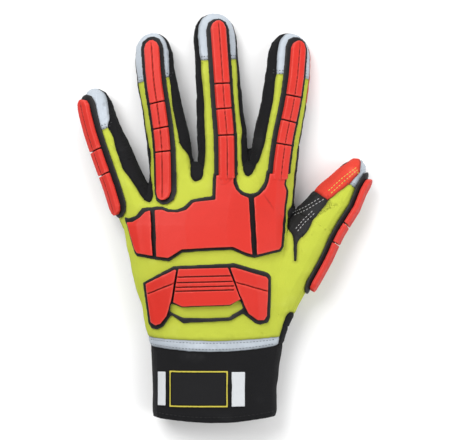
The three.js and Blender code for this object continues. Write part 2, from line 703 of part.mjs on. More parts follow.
const PAINTS = {
  knit: { color: 0xcfe052, roughness: 0.85, metalness: 0 },
  reflective: { color: 0xc3cdda, roughness: 0.5, metalness: 0.1 },
  sideFabric: { color: 0x262628, roughness: 0.9, metalness: 0 },
  palmLeather: { color: 0x2a2a2c, roughness: 0.8, metalness: 0 },
  cuffKnit: { color: 0x202022, roughness: 0.9, metalness: 0 },
  guardRed: { color: 0xe8413a, roughness: 0.5, metalness: 0 },
  guardBlack: { color: 0x1f1f20, roughness: 0.55, metalness: 0 },
  patchRed: { color: 0xd8402f, roughness: 0.8, metalness: 0 },
  labelBlack: { color: 0x232323, roughness: 0.8, metalness: 0 },
  labelYellow: { color: 0xd8c84a, roughness: 0.8, metalness: 0 },
  labelWhite: { color: 0xdfe2e4, roughness: 0.7, metalness: 0 },
};

const glove = new THREE.Group();

// The largest closed shell of a mesh, without the crumbs that a cut leaves beside it
function mainShell(positions, triangles) {
  const parent = Array.from({ length: positions.length / 3 }, (_, i) => i);
  const rootOf = (vertex) => {
    let top = vertex;
    while (parent[top] !== top) {
      top = parent[top];
    }
    parent[vertex] = top;
    return top;
  };
  for (let i = 0; i < triangles.length; i += 3) {
    const top = rootOf(triangles[i]);
    parent[rootOf(triangles[i + 1])] = top;
    parent[rootOf(triangles[i + 2])] = top;
  }
  const shells = new Map();
  for (let i = 0; i < triangles.length; i += 3) {
    const top = rootOf(triangles[i]);
    shells.set(top, [...(shells.get(top) ?? []), ...triangles.slice(i, i + 3)]);
  }
  const volumes = [...shells.values()].map((shell) => [signedVolume(positions, shell), shell]);
  return volumes.reduce((best, one) => (one[0] > best[0] ? one : best))[1];
}

function addPiece(name, paint, body) {
  const { vertProperties, triVerts } = body.getMesh();
  const geometry = new THREE.BufferGeometry();
  geometry.setAttribute('position', new THREE.BufferAttribute(vertProperties, 3));
  geometry.setIndex(mainShell(vertProperties, triVerts));
  geometry.computeVertexNormals();
  const mesh = new THREE.Mesh(geometry, new THREE.MeshStandardMaterial(PAINTS[paint]));
  mesh.name = name;
  glove.add(mesh);
}

// A piece of fabric wall on a digit past its crease, a half gap inside its edges
function digitWall(name, from, to, [left, right]) {
  return sliceSolid(digits[name], { from, to, left, right }, -GAP / 2, -FABRIC_WALL, 0);
}

function addTips() {
  Object.keys(DIGITS).forEach((name) => {
    const { back, tipSeam } = DIGITS[name];
    const tip = digitWall(name, markOf(name, tipSeam), FAR, back);
    const patch = planZone(OUTLINES.thumbPatch, 0, GAP / 2);
    addPiece(`tip_${name}`, 'reflective', name === 'thumb' ? tip.subtract(patch) : tip);
  });
}

// Palm sides of the digits, with a patch let into the index finger and one into the thumb
function addFronts() {
  const fronts = Object.fromEntries(Object.keys(DIGITS).map((name) => (
    [name, digitWall(name, creaseOf(name) + GAP / 2, FAR, DIGITS[name].palm)])));
  const patch = {
    ...INDEX_PATCH,
    from: markOf('index', INDEX_PATCH.from),
    to: markOf('index', INDEX_PATCH.to),
  };
  const indexPatch = (margin) => sliceSolid(digits.index, patch, margin, CUT_LOW, CUT_HIGH);
  const thumbPatch = (margin) => planZone(OUTLINES.thumbPatch, 0, margin);
  const wrap = digitWall('thumb', creaseOf('thumb') + GAP, FAR, THUMB_WRAP);
  addPiece('index_patch', 'patchRed', fronts.index.intersect(indexPatch(-GAP / 2)));
  addPiece('thumb_patch', 'patchRed', wrap.intersect(thumbPatch(-GAP / 2)));
  fronts.index = fronts.index.subtract(indexPatch(GAP / 2));
  fronts.thumb = fronts.thumb.subtract(thumbPatch(GAP / 2));
  Object.keys(fronts).forEach((name) => addPiece(`front_${name}`, 'palmLeather', fronts[name]));
}

// Takes a zone and its gap out of what is left of the shell
function without(rest, zone) {
  return rest.subtract(zone(GAP / 2).add(zone(-GAP / 2)));
}

function cutPiece(rest, name, paint, zone) {
  addPiece(name, paint, rest.intersect(zone(-GAP / 2)));
  return without(rest, zone);
}

// Side walls between two fingers, with the round bottom of the crotch between them
function addFourchette(rest, left, right) {
  const outline = OUTLINES[`${left}${right[0].toUpperCase()}${right.slice(1)}Notch`];
  const zone = (margin) => planZone(outline, seamHeight, margin);
  const backs = join([left, right].map((name) => (
    rootZone(name, creaseOf(name) - ROOT_OVERLAP, ...DIGITS[name].back, GAP / 2))));
  const sides = [
    digitWall(left, creaseOf(left) - ROOT_OVERLAP, FAR, [DIGITS[left].back[1], DIGITS[left].palm[0]]),
    digitWall(right, creaseOf(right) - ROOT_OVERLAP, FAR,
      [turnEdge(DIGITS[right].palm[1], -FULL_TURN), DIGITS[right].back[0]]),
  ];
  addPiece(`fourchette_${left}_${right}`, 'sideFabric',
    join([rest.intersect(zone(-GAP / 2)).subtract(backs), ...sides]));
  return without(rest, zone);
}

function addTrunk() {
  let rest = trunkShell();
  rest = cutPiece(rest, 'cuff', 'cuffKnit', cuffZone);
  rest = cutPiece(rest, 'side_gusset', 'sideFabric', (margin) => (
    planZone(OUTLINES.gusset, seamHeight, margin)));
  rest = cutPiece(rest, 'reflective_band', 'reflective', bandZone);
  rest = addFourchette(rest, 'pinky', 'ring');
  rest = addFourchette(rest, 'ring', 'middle');
  rest = addFourchette(rest, 'middle', 'index');
  const backs = Object.keys(DIGITS).map((name) => (
    digitWall(name, creaseOf(name) - ROOT_OVERLAP, markOf(name, DIGITS[name].tipSeam),
      DIGITS[name].back)));
  const thumb = backs.pop().subtract(planZone(OUTLINES.thumbPatch, 0, GAP / 2));
  rest = cutPiece(rest, 'palm_panel', 'palmLeather', palmZone);
  const back = join([rest, without(join(backs), palmZone), without(thumb, tongueZone)]);
  addPiece('back_panel', 'knit', back);
}

// Where a digit's strip grows out of the knuckle plate, in millimetres along the digit
function plateMark(name) {
  const { root, heading, plateEdge } = DIGITS[name];
  return ((plateEdge - root[1]) * PALM_LENGTH - PLATE_OVERLAP) / Math.cos(degrees(heading));
}

function digitStrip(name, span, shape, rounds) {
  const digit = DIGITS[name];
  const grown = digit.plateEdge && span === digit.flange;
  return stripSolid(digits[name], {
    from: grown ? plateMark(name) : markOf(name, span[0]) + shape.trim,
    to: markOf(name, span[1]) - shape.trim,
    width: shape.width,
    low: shape.low,
    high: shape.high,
    profile: shape.profile,
    length: digit.length,
    angles: digit.guard,
    roundFrom: rounds.includes('from'),
    roundTo: rounds.includes('to'),
  });
}

const FLANGE_SHAPE = {
  width: FLANGE_WIDTH, low: FLANGE_LOW, high: FLANGE_HIGH, profile: FLANGE_PROFILE, trim: 0,
};
const PAD_SHAPE = {
  width: PAD_WIDTH, low: PAD_LOW, high: PAD_HIGH, profile: PAD_PROFILE, trim: PAD_BREAK / 2,
};
// The end of a pad that grows into a plate stands clear of the flange under it
const MERGED_PAD_SHAPE = { ...PAD_SHAPE, low: PAD_LOW + GAP / 2 };

function padStrips(name, rootShape, rootEnd) {
  const { spans } = DIGITS[name];
  return spans.map((span, i) => {
    const shape = i === 0 ? rootShape : PAD_SHAPE;
    const rounds = [i === spans.length - 1 ? 'to' : '', i === 0 ? rootEnd : ''];
    return digitStrip(name, span, shape, rounds);
  });
}

function addDigitGuard(name) {
  const base = digitStrip(name, DIGITS[name].flange, FLANGE_SHAPE, ['from', 'to']);
  addPiece(`${name}_guard_base`, 'guardBlack', base);
  padStrips(name, PAD_SHAPE, 'from').forEach((strip, i) => (
    addPiece(`${name}_pad_${i + 1}`, 'guardRed', strip)));
}

function plateColumn(outline) {
  return columnSolid(planOutline(OUTLINES[outline]), PALM_DEPTH / 2, FAR);
}

function addKnuckleGuard() {
  const flanges = skinLayer(FLANGE_LOW, FLANGE_HIGH, ['pinky', 'middle', 'index']);
  const pads = skinLayer(PAD_LOW, PAD_HIGH, ['middle', 'index']);
  const strips = ['middle', 'index'].map((name) => (
    digitStrip(name, DIGITS[name].flange, FLANGE_SHAPE, ['to'])));
  const plate = flanges.intersect(plateColumn('knuckleFlange'));
  addPiece('knuckle_guard_base', 'guardBlack', join([plate, ...strips]));
  const plates = {
    middle: ['knuckle_pad_centre', 'knucklePadCentre'],
    index: ['knuckle_pad_index_side', 'knucklePadIndexSide'],
  };
  Object.entries(plates).forEach(([name, [node, outline]]) => {
    const [root, ...others] = padStrips(name, MERGED_PAD_SHAPE, '');
    addPiece(node, 'guardRed', pads.intersect(plateColumn(outline)).add(root));
    others.forEach((strip, i) => addPiece(`${name}_pad_${i + 1}`, 'guardRed', strip));
  });
  addPiece('knuckle_pad_pinky_side', 'guardRed', pads.intersect(plateColumn('knucklePadPinkySide')));
}

function grooveCut(start, end, floor) {
  const [from, to] = planOutline([start, end]);
  const along = to.clone().sub(from).normalize();
  const across = new THREE.Vector2(along.y, -along.x).multiplyScalar(GROOVE_WIDTH / 2);
  const outline = [
    from.clone().add(across), to.clone().add(across),
    to.clone().sub(across), from.clone().sub(across),
  ];
  return columnSolid(outline, PALM_DEPTH / 2, FAR).subtract(floor);
}

function addHandGuard() {
  const flanges = skinLayer(FLANGE_LOW, FLANGE_HIGH, []);
  const pads = skinLayer(PAD_LOW, PAD_HIGH, []);
  const base = flanges.intersect(plateColumn('handFlange')).subtract(plateColumn('handWindow'));
  addPiece('hand_guard_base', 'guardBlack', base);
  const floor = formSolid(palm, PAD_HIGH - GROOVE_DEPTH);
  Object.entries(GROOVES).forEach(([side, lines]) => {
    const grooves = join(lines.map(([from, to]) => grooveCut(from, to, floor)));
    const plate = plateColumn(`handPad${side[0].toUpperCase()}${side.slice(1)}`);
    addPiece(`hand_pad_${side}`, 'guardRed', pads.intersect(plate).subtract(grooves));
  });
}

function addGuards() {
  ['pinky', 'ring', 'thumb'].forEach((name) => addDigitGuard(name));
  addKnuckleGuard();
  addHandGuard();
}

function addLabels() {
  const skin = formSolid(palm, LABEL_HIGH).subtract(formSolid(palm, GAP));
  const middle = WRIST_LINE * PALM_LENGTH - LABEL_PLACE.along * CUFF_LENGTH;
  const labelX = LABEL_PLACE.side * WRIST_WIDTH;
  const tabX = labelX + LABEL_WIDTH / 2 + LABEL_SPACE + TAB_WIDTH / 2;
  const stripX = labelX - LABEL_WIDTH / 2 - LABEL_SPACE - STRIP_WIDTH / 2;
  const columnAt = (x, width, height) => (
    columnSolid(rectangle(x, middle, width, height), WRIST_DEPTH / 2, FAR));
  const inner = columnAt(labelX, LABEL_WIDTH - 2 * LABEL_BORDER, LABEL_HEIGHT - 2 * LABEL_BORDER);
  const hole = columnAt(
    labelX, LABEL_WIDTH - 2 * (LABEL_BORDER - GAP), LABEL_HEIGHT - 2 * (LABEL_BORDER - GAP));
  addPiece('name_label', 'labelBlack', skin.intersect(inner));
  addPiece('label_frame', 'labelYellow',
    skin.intersect(columnAt(labelX, LABEL_WIDTH, LABEL_HEIGHT)).subtract(hole));
  addPiece('size_tab', 'labelWhite', skin.intersect(columnAt(tabX, TAB_WIDTH, TAB_HEIGHT)));
  addPiece('write_strip', 'labelWhite', skin.intersect(columnAt(stripX, STRIP_WIDTH, STRIP_HEIGHT)));
}

addTrunk();
addTips();
addFronts();
addGuards();
addLabels();

export default glove;
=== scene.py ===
"""Impact glove for a left hand, lying palm down on a pale floor.

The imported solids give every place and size. The cloth gets a finer net, loses its facets, is drawn in
at its seams and creased. The guards are softened at their edges. Thread and finishes are added.
"""

import logging
import math
from collections.abc import Iterator
from contextlib import contextmanager
from dataclasses import dataclass, field
from enum import Enum
from functools import cache

import bpy
import numpy as np
from bpy.types import Material, Node, NodeSocket, NodeTree, Object
from mathutils import Matrix, Vector, noise
from mathutils.bvhtree import BVHTree
from mathutils.kdtree import KDTree

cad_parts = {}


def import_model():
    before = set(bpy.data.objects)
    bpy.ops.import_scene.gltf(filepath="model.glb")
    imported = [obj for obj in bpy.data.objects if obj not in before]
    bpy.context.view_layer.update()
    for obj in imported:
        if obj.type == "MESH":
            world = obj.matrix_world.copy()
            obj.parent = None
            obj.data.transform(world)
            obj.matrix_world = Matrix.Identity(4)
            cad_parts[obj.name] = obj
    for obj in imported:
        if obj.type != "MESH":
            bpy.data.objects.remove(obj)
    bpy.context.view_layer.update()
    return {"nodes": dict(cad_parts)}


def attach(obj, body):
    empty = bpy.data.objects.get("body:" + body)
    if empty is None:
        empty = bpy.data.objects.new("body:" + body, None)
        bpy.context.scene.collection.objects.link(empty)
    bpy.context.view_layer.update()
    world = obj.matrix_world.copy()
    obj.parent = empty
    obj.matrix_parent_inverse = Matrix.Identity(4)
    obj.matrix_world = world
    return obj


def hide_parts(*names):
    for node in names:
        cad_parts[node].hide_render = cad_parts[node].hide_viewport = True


LOG = logging.getLogger("glove")
MM = 0.001
FINGERS = ("pinky", "ring", "middle", "index", "thumb")

# How strongly soiled patches change a finish's colour and its roughness
SOIL_TINT = 0.22
SOIL_DULLNESS = 0.12

# Share of the faces that stays in the lining, in the guards and in the labels
LINING_KEPT = 0.3
GUARD_KEPT = 0.35
LABEL_KEPT = 0.5

Colour = tuple[float, float, float]


class Slot(Enum):
    """The record's material slots that this glove uses."""

    KNIT = "knit"
    REFLECTIVE = "reflective"
    SIDE_FABRIC = "side_fabric"
    PALM_LEATHER = "palm_leather"
    CUFF_KNIT = "cuff_knit"
    GUARD_RED = "guard_red"
    GUARD_BLACK = "guard_black"
    PATCH_RED = "patch_red"
    LABEL_BLACK = "label_black"
    LABEL_YELLOW = "label_yellow"
    LABEL_WHITE = "label_white"


# Mesh helpers


def pick(*objects: Object) -> None:
    """Selects these objects alone and makes the first one active.

    Args:
        objects: What the next operator acts on.
    """
    bpy.ops.object.select_all(action="DESELECT")
    for each in objects:
        each.select_set(True)
    bpy.context.view_layer.objects.active = objects[0]


@contextmanager
def editing(piece: Object, whole: bool = True) -> Iterator[None]:
    """Opens a piece for editing and closes it again.

    Args:
        piece: The mesh object.
        whole: Whether all of it is selected first.

    Yields:
        Nothing, while the piece is open.
    """
    pick(piece)
    bpy.ops.object.mode_set(mode="EDIT")
    if whole:
        bpy.ops.mesh.select_all(action="SELECT")
    yield
    bpy.ops.object.mode_set(mode="OBJECT")


def modify(piece: Object, kind: str, **settings: object) -> None:
    """Adds one modifier to a piece and applies it.

    Args:
        piece: The mesh object to change.
        kind: The modifier's type.
        settings: Values for the modifier's own properties.
    """
    pick(piece)
    modifier = piece.modifiers.new(kind.title(), kind)
    for key, value in settings.items():
        setattr(modifier, key, value)
    bpy.ops.object.modifier_apply(modifier=modifier.name)


def points_of(piece: Object, kind: str = "co") -> np.ndarray:
    """Reads a mesh's points.

    Args:
        piece: The mesh object.
        kind: What to read of each point: its place in metres, or "normal".

    Returns:
        An array of shape (points, 3).
    """
    flat = np.empty(len(piece.data.vertices) * 3)
    piece.data.vertices.foreach_get(kind, flat)
    return flat.reshape(-1, 3)


def normals_of(piece: Object) -> np.ndarray:
    """Reads the normals at a mesh's points, as an array of shape (points, 3)."""
    return points_of(piece, "normal")


def place_points(piece: Object, points: np.ndarray) -> None:
    """Writes a mesh's new points, in metres."""
    piece.data.vertices.foreach_set("co", points.ravel())
    piece.data.update()


def edges_of(piece: Object) -> np.ndarray:
    """Reads a mesh's edges, as an array of shape (edges, 2) with the points that they join."""
    flat = np.empty(len(piece.data.edges) * 2, np.int32)
    piece.data.edges.foreach_get("vertices", flat)
    return flat.reshape(-1, 2)


class Links:
    """The edges of a mesh, for averages over neighbouring points."""

    def __init__(self, piece: Object) -> None:
        """Reads the edges of a piece.

        Args:
            piece: The mesh object.
        """
        pairs = edges_of(piece)
        self.start = np.concatenate([pairs[:, 0], pairs[:, 1]])
        self.end = np.concatenate([pairs[:, 1], pairs[:, 0]])
        self.count = len(piece.data.vertices)
        self.degree = np.maximum(1, np.bincount(self.start, minlength=self.count))

    def mean(self, values: np.ndarray) -> np.ndarray:
        """Averages values over each point's neighbours.

        Args:
            values: One row of numbers for each point.

        Returns:
            The averages, in the same shape.
        """
        columns = [
            np.bincount(self.start, values[self.end, k], self.count) / self.degree
            for k in range(values.shape[1])
        ]
        return np.stack(columns, axis=1)

    def smooth(self, values: np.ndarray, rounds: int, pull: float = 0.6) -> np.ndarray:
        """Moves values toward their neighbours' average, several times over.

        Args:
            values: One row of numbers for each point.
            rounds: How many times.
            pull: The share of the way that each round goes.

        Returns:
            The smoothed values.
        """
        for _ in range(rounds):
            values = values + pull * (self.mean(values) - values)
        return values


def write_attribute(piece: Object, name: str, values: np.ndarray) -> None:
    """Stores one number for each point of a piece, for its material to read."""
    attribute = piece.data.attributes.new(name, "FLOAT", "POINT")
    attribute.data.foreach_set("value", values.astype(np.float32))


def copy_node(node: str, name: str) -> Object:
    """Copies a CAD node's mesh into a new piece with its doubled points merged.

    Args:
        node: The CAD node.
        name: The new piece's name.

    Returns:
        The new mesh object.
    """
    source = bpy.data.objects[node]
    piece = bpy.data.objects.new(name, source.data.copy())
    bpy.context.scene.collection.objects.link(piece)
    piece.data.materials.clear()
    with editing(piece):
        bpy.ops.mesh.remove_doubles(threshold=1e-6)
    return piece


def remesh(piece: Object, voxel: float) -> None:
    """Rebuilds a closed piece as an even net with faces of one size, in metres."""
    modify(piece, "REMESH", mode="VOXEL", voxel_size=voxel, use_smooth_shade=True)


def thin_out(piece: Object, share: float) -> None:
    """Merges small faces where a net is denser than its shape needs, until a share of them is left."""
    modify(piece, "DECIMATE", ratio=share)
    bpy.ops.object.shade_smooth()


def wave_noise(points: np.ndarray, size: float, seed: float) -> np.ndarray:
    """Soft noise from about -1 to 1 at each point, with bumps of a size in metres."""
    shift = Vector((seed, 0.7 * seed, -0.4 * seed))
    return np.array([noise.noise(Vector(p) / size + shift) for p in points])


def surface_of(pieces: list[Object]) -> BVHTree:
    """Builds one search tree over the faces of some pieces.

    Args:
        pieces: The mesh objects.

    Returns:
        The tree.
    """
    points: list[Vector] = []
    faces: list[tuple[int, ...]] = []
    for piece in pieces:
        base = len(points)
        points += [vertex.co.copy() for vertex in piece.data.vertices]
        faces += [tuple(base + index for index in face.vertices) for face in piece.data.polygons]
    return BVHTree.FromPolygons(points, faces)


def tree_of(points: np.ndarray) -> KDTree:
    """Builds a search tree over points in metres."""
    tree = KDTree(len(points))
    for index, point in enumerate(points):
        tree.insert(point, index)
    tree.balance()
    return tree


def nearest(tree: KDTree, points: np.ndarray, count: int,
            soft: float) -> tuple[np.ndarray, np.ndarray, np.ndarray]:
    """Finds the nearest points in a tree.

    Args:
        tree: Where to look.
        points: Points in metres.
        count: How many to find for each point.
        soft: Distance under which nearer points hardly weigh more, in metres.

    Returns:
        The rows found, their weights, and the distance to the nearest of them.
    """
    near = [tree.find_n(point, count) for point in points]
    rows = np.array([[index for _, index, _ in found] for found in near])
    away = np.array([[distance for _, _, distance in found] for found in near])
    weights = 1 / (away + soft)
    return rows, weights / weights.sum(axis=1, keepdims=True), away.min(axis=1)


# The smooth form of the sewn glove


@dataclass
class SmoothForm:
    """The joined cloth without its facets, which every sewn piece follows.

    Attributes:
        voxel: Face size of the joined net, in metres.
        rounds: How often the net is smoothed.
        inset: How far the lining lies inside the cloth, in metres.
        lining: The lining's object, once built.
        moves: How far each point of the net moves, in metres.
        normals: The net's normals.
        outer: 1 for points on the outside of the glove, 0 inside it.
        tree: Finds points of the net.
    """

    voxel: float = 1.15 * MM
    rounds: int = 34
    inset: float = 0.95 * MM
    lining: Object | None = None
    moves: np.ndarray | None = None
    normals: np.ndarray | None = None
    outer: np.ndarray | None = None
    tree: KDTree | None = None

    def build(self, nodes: list[str]) -> None:
        """Joins the cloth nodes, smooths them and keeps the moves.

        Args:
            nodes: The CAD nodes of sewn cloth.
        """
        copies = [copy_node(node, f"form_{node}") for node in nodes]
        pick(*copies)
        bpy.ops.object.join()
        lining = copies[0]
        lining.name = "lining"
        remesh(lining, self.voxel)
        links = Links(lining)
        start = points_of(lining)
        smooth = links.smooth(start, self.rounds)
        place_points(lining, smooth)
        normals = normals_of(lining)
        sunk = np.sum((smooth - start) * normals, axis=1, keepdims=True)
        kept = links.smooth(sunk, 3 * self.rounds)
        self.moves = smooth - start - kept * normals
        self.tree = tree_of(start)
        formed = start + self.moves
        place_points(lining, formed)
        self.normals = normals_of(lining)
        self.outer = self.find_outer(lining, formed)
        place_points(lining, formed - self.inset * self.normals)
        self.lining = lining

    def find_outer(self, net: Object, points: np.ndarray) -> np.ndarray:
        """Tells the outside of the glove from the hollow for the hand.

        Args:
            net: The joined net.
            points: Its formed points.

        Returns:
            1 for each point on the outside, 0 for each that has cloth above and below it.
        """
        faces = [tuple(face.vertices) for face in net.data.polygons]
        surface = BVHTree.FromPolygons([Vector(point) for point in points], faces)
        up, down = Vector((0, 0, 1)), Vector((0, 0, -1))
        lift = 0.5 * MM
        outer = np.ones(len(points))
        for row, start in enumerate(points + lift * self.normals):
            origin = Vector(start)
            if surface.ray_cast(origin, up)[0] and surface.ray_cast(origin, down)[0]:
                outer[row] = 0
        return outer

    def sample(self, points: np.ndarray) -> tuple[np.ndarray, np.ndarray, np.ndarray]:
        """Reads the form near some points.

        Args:
            points: Points on the CAD surface, in metres.

        Returns:
            Their moves, the form's normals there, and their share of the outside.
        """
        rows, weights, _ = nearest(self.tree, points, count=5, soft=0.2 * MM)
        moves = np.einsum("ij,ijk->ik", weights, self.moves[rows])
        normals = np.einsum("ij,ijk->ik", weights, self.normals[rows])
        normals /= np.maximum(1e-9, np.linalg.norm(normals, axis=1, keepdims=True))
        return moves, normals, np.sum(weights * self.outer[rows], axis=1)


# Shader node groups and finishes


class Nodes:
    """Places and wires shader nodes in a tree."""

    def __init__(self, tree: NodeTree) -> None:
        """Keeps the tree to fill."""
        self.tree = tree

    def add(self, kind: str, **settings: object) -> Node:
        """Adds a node.

        Args:
            kind: The node's type.
            settings: Values of its properties.

        Returns:
            The new node.
        """
        node = self.tree.nodes.new(kind)
        for key, value in settings.items():
            setattr(node, key, value)
        return node

    def wire(self, source: NodeSocket, target: NodeSocket) -> None:
        """Links two sockets."""
        self.tree.links.new(source, target)

    def feed(self, socket: NodeSocket, value: object) -> None:
        """Gives an input its value.

        Args:
            socket: The input.
            value: Another node's output, a number, or a colour.
        """
        if isinstance(value, NodeSocket):
            self.wire(value, socket)
        else:
            socket.default_value = (*value, 1) if isinstance(value, tuple) else value

    def math(self, operation: str, first: object, second: object = 0.0) -> NodeSocket:
        """Adds a Math node.

        Args:
            operation: What it does.
            first: A socket or a number.
            second: A socket or a number.

        Returns:
            Its output.
        """
        node = self.add("ShaderNodeMath", operation=operation)
        self.feed(node.inputs[0], first)
        self.feed(node.inputs[1], second)
        return node.outputs[0]

    def mix(self, factor: object, first: object, second: object) -> NodeSocket:
        """Mixes two colours.

        Args:
            factor: A socket or a number from 0 to 1.
            first: A socket or a colour for factor 0.
            second: A socket or a colour for factor 1.

        Returns:
            The mixed colour's output.
        """
        node = self.add("ShaderNodeMix", data_type="RGBA")
        self.feed(node.inputs[0], factor)
        self.feed(node.inputs[6], first)
        self.feed(node.inputs[7], second)
        return node.outputs[2]

    def span(self, value: NodeSocket, low: float, high: float) -> NodeSocket:
        """Spreads a value from 0..1 to low..high."""
        return self.math("ADD", self.math("MULTIPLY", value, high - low), low)

    def noise(self, place: NodeSocket, scale: object, detail: float,
              roughness: float = 0.5) -> NodeSocket:
        """Adds a noise texture.

        Args:
            place: Where it is read.
            scale: A socket or a number, in bumps per metre.
            detail: How many finer layers it has.
            roughness: How strong the finer layers are.

        Returns:
            Its value's output.
        """
        node = self.add("ShaderNodeTexNoise")
        settings = {"Vector": place, "Scale": scale, "Detail": detail, "Roughness": roughness}
        for name, value in settings.items():
            self.feed(node.inputs[name], value)
        return node.outputs[0]


class GroupLibrary:
    """Shader node groups that several finishes share, each built once."""

    def start(self, name: str, inputs: tuple[str, ...],
              outputs: tuple[str, ...]) -> tuple[Nodes, Node, Node, NodeSocket]:
        """Makes an empty group with number sockets.

        Args:
            name: The group's name.
            inputs: Names of its inputs.
            outputs: Names of its outputs.

        Returns:
            A writer for the group's tree, its input and output nodes, and the place on the piece.
        """
        nodes = Nodes(bpy.data.node_groups.new(name, "ShaderNodeTree"))
        for side, names in (("INPUT", inputs), ("OUTPUT", outputs)):
            for each in names:
                nodes.tree.interface.new_socket(each, in_out=side, socket_type="NodeSocketFloat")
        ends = [nodes.add(f"NodeGroup{side}") for side in ("Input", "Output")]
        return nodes, *ends, nodes.add("ShaderNodeTexCoord").outputs["Object"]

    @cache
    def weave(self) -> NodeTree:
        """Builds the pattern of crossing yarns that looks alike on every side of the cloth.

        Returns:
            A group from Pitch in metres and Slant to Height and Shade.
        """
        nodes, source, sink, place = self.start("Weave", ("Pitch", "Slant"), ("Height", "Shade"))
        split = nodes.add("ShaderNodeSeparateXYZ")
        nodes.wire(place, split.inputs[0])
        turn = nodes.math("DIVIDE", 2 * math.pi, source.outputs["Pitch"])
        slant = source.outputs["Slant"]
        first = nodes.math("ADD", split.outputs[0], nodes.math("MULTIPLY", split.outputs[2], 0.6))
        second = nodes.math("ADD", split.outputs[1], nodes.math("MULTIPLY", split.outputs[2], 0.6))
        leaning = nodes.math("ADD", first, nodes.math("MULTIPLY", second, slant))
        crossing = nodes.math("SUBTRACT", second, nodes.math("MULTIPLY", first, slant))
        warp = nodes.math("SINE", nodes.math("MULTIPLY", leaning, turn))
        weft = nodes.math("SINE", nodes.math("MULTIPLY", crossing, turn))
        height = nodes.math("ADD", nodes.math("MULTIPLY", nodes.math("MULTIPLY", warp, weft), 0.5), 0.5)
        fuzz = nodes.noise(place, 2600, 2)
        rough = nodes.math("ADD", height, nodes.math("MULTIPLY", fuzz, 0.35))
        nodes.wire(rough, sink.inputs["Height"])
        nodes.wire(nodes.math("MULTIPLY", rough, 0.74), sink.inputs["Shade"])
        return nodes.tree

    @cache
    def grain(self) -> NodeTree:
        """Builds leather or moulded grain: small cells with fine pores.

        Returns:
            A group from Scale to Height and Shade.
        """
        nodes, source, sink, place = self.start("Grain", ("Scale",), ("Height", "Shade"))
        cells = nodes.add("ShaderNodeTexVoronoi", feature="SMOOTH_F1")
        nodes.wire(place, cells.inputs["Vector"])
        nodes.wire(source.outputs["Scale"], cells.inputs["Scale"])
        finer = nodes.math("MULTIPLY", source.outputs["Scale"], 1.7)
        pores = nodes.noise(place, finer, 5)
        height = nodes.math("ADD", nodes.math("MULTIPLY", cells.outputs["Distance"], 0.6),
                            nodes.math("MULTIPLY", pores, 0.5))
        nodes.wire(height, sink.inputs["Height"])
        nodes.wire(pores, sink.inputs["Shade"])
        return nodes.tree

    @cache
    def wear(self) -> NodeTree:
        """Builds masks for rubbed edges, for painted shade in hollows and for soiled patches.

        Returns:
            A group with outputs Edge, Hollow and Soil.
        """
        nodes, source, sink, place = self.start("WearAndPaintedShade", ("Amount",), ("Edge", "Hollow", "Soil"))
        blot = nodes.noise(place, 34, 6, 0.62)
        speck = nodes.noise(place, 420, 4)
        edge = nodes.add("ShaderNodeAttribute", attribute_name="edge")
        hollow = nodes.add("ShaderNodeAttribute", attribute_name="hollow")
        rubbed = nodes.math("MULTIPLY", edge.outputs["Fac"], nodes.math("MULTIPLY", speck, 1.7))
        nodes.wire(nodes.math("MULTIPLY", rubbed, source.outputs["Amount"]), sink.inputs["Edge"])
        # Hollow: where the finish paints shade
        nodes.wire(nodes.math("MINIMUM", hollow.outputs["Fac"], 1.0), sink.inputs["Hollow"])
        patches = nodes.add("ShaderNodeMapRange")
        patches.inputs["From Min"].default_value = 0.42
        patches.inputs["From Max"].default_value = 0.74
        nodes.wire(blot, patches.inputs["Value"])
        nodes.wire(nodes.math("MULTIPLY", patches.outputs[0], source.outputs["Amount"]), sink.inputs["Soil"])
        return nodes.tree


class Pattern(Enum):
    """Which surface relief a finish carries."""

    WEAVE = "weave"
    GRAIN = "grain"


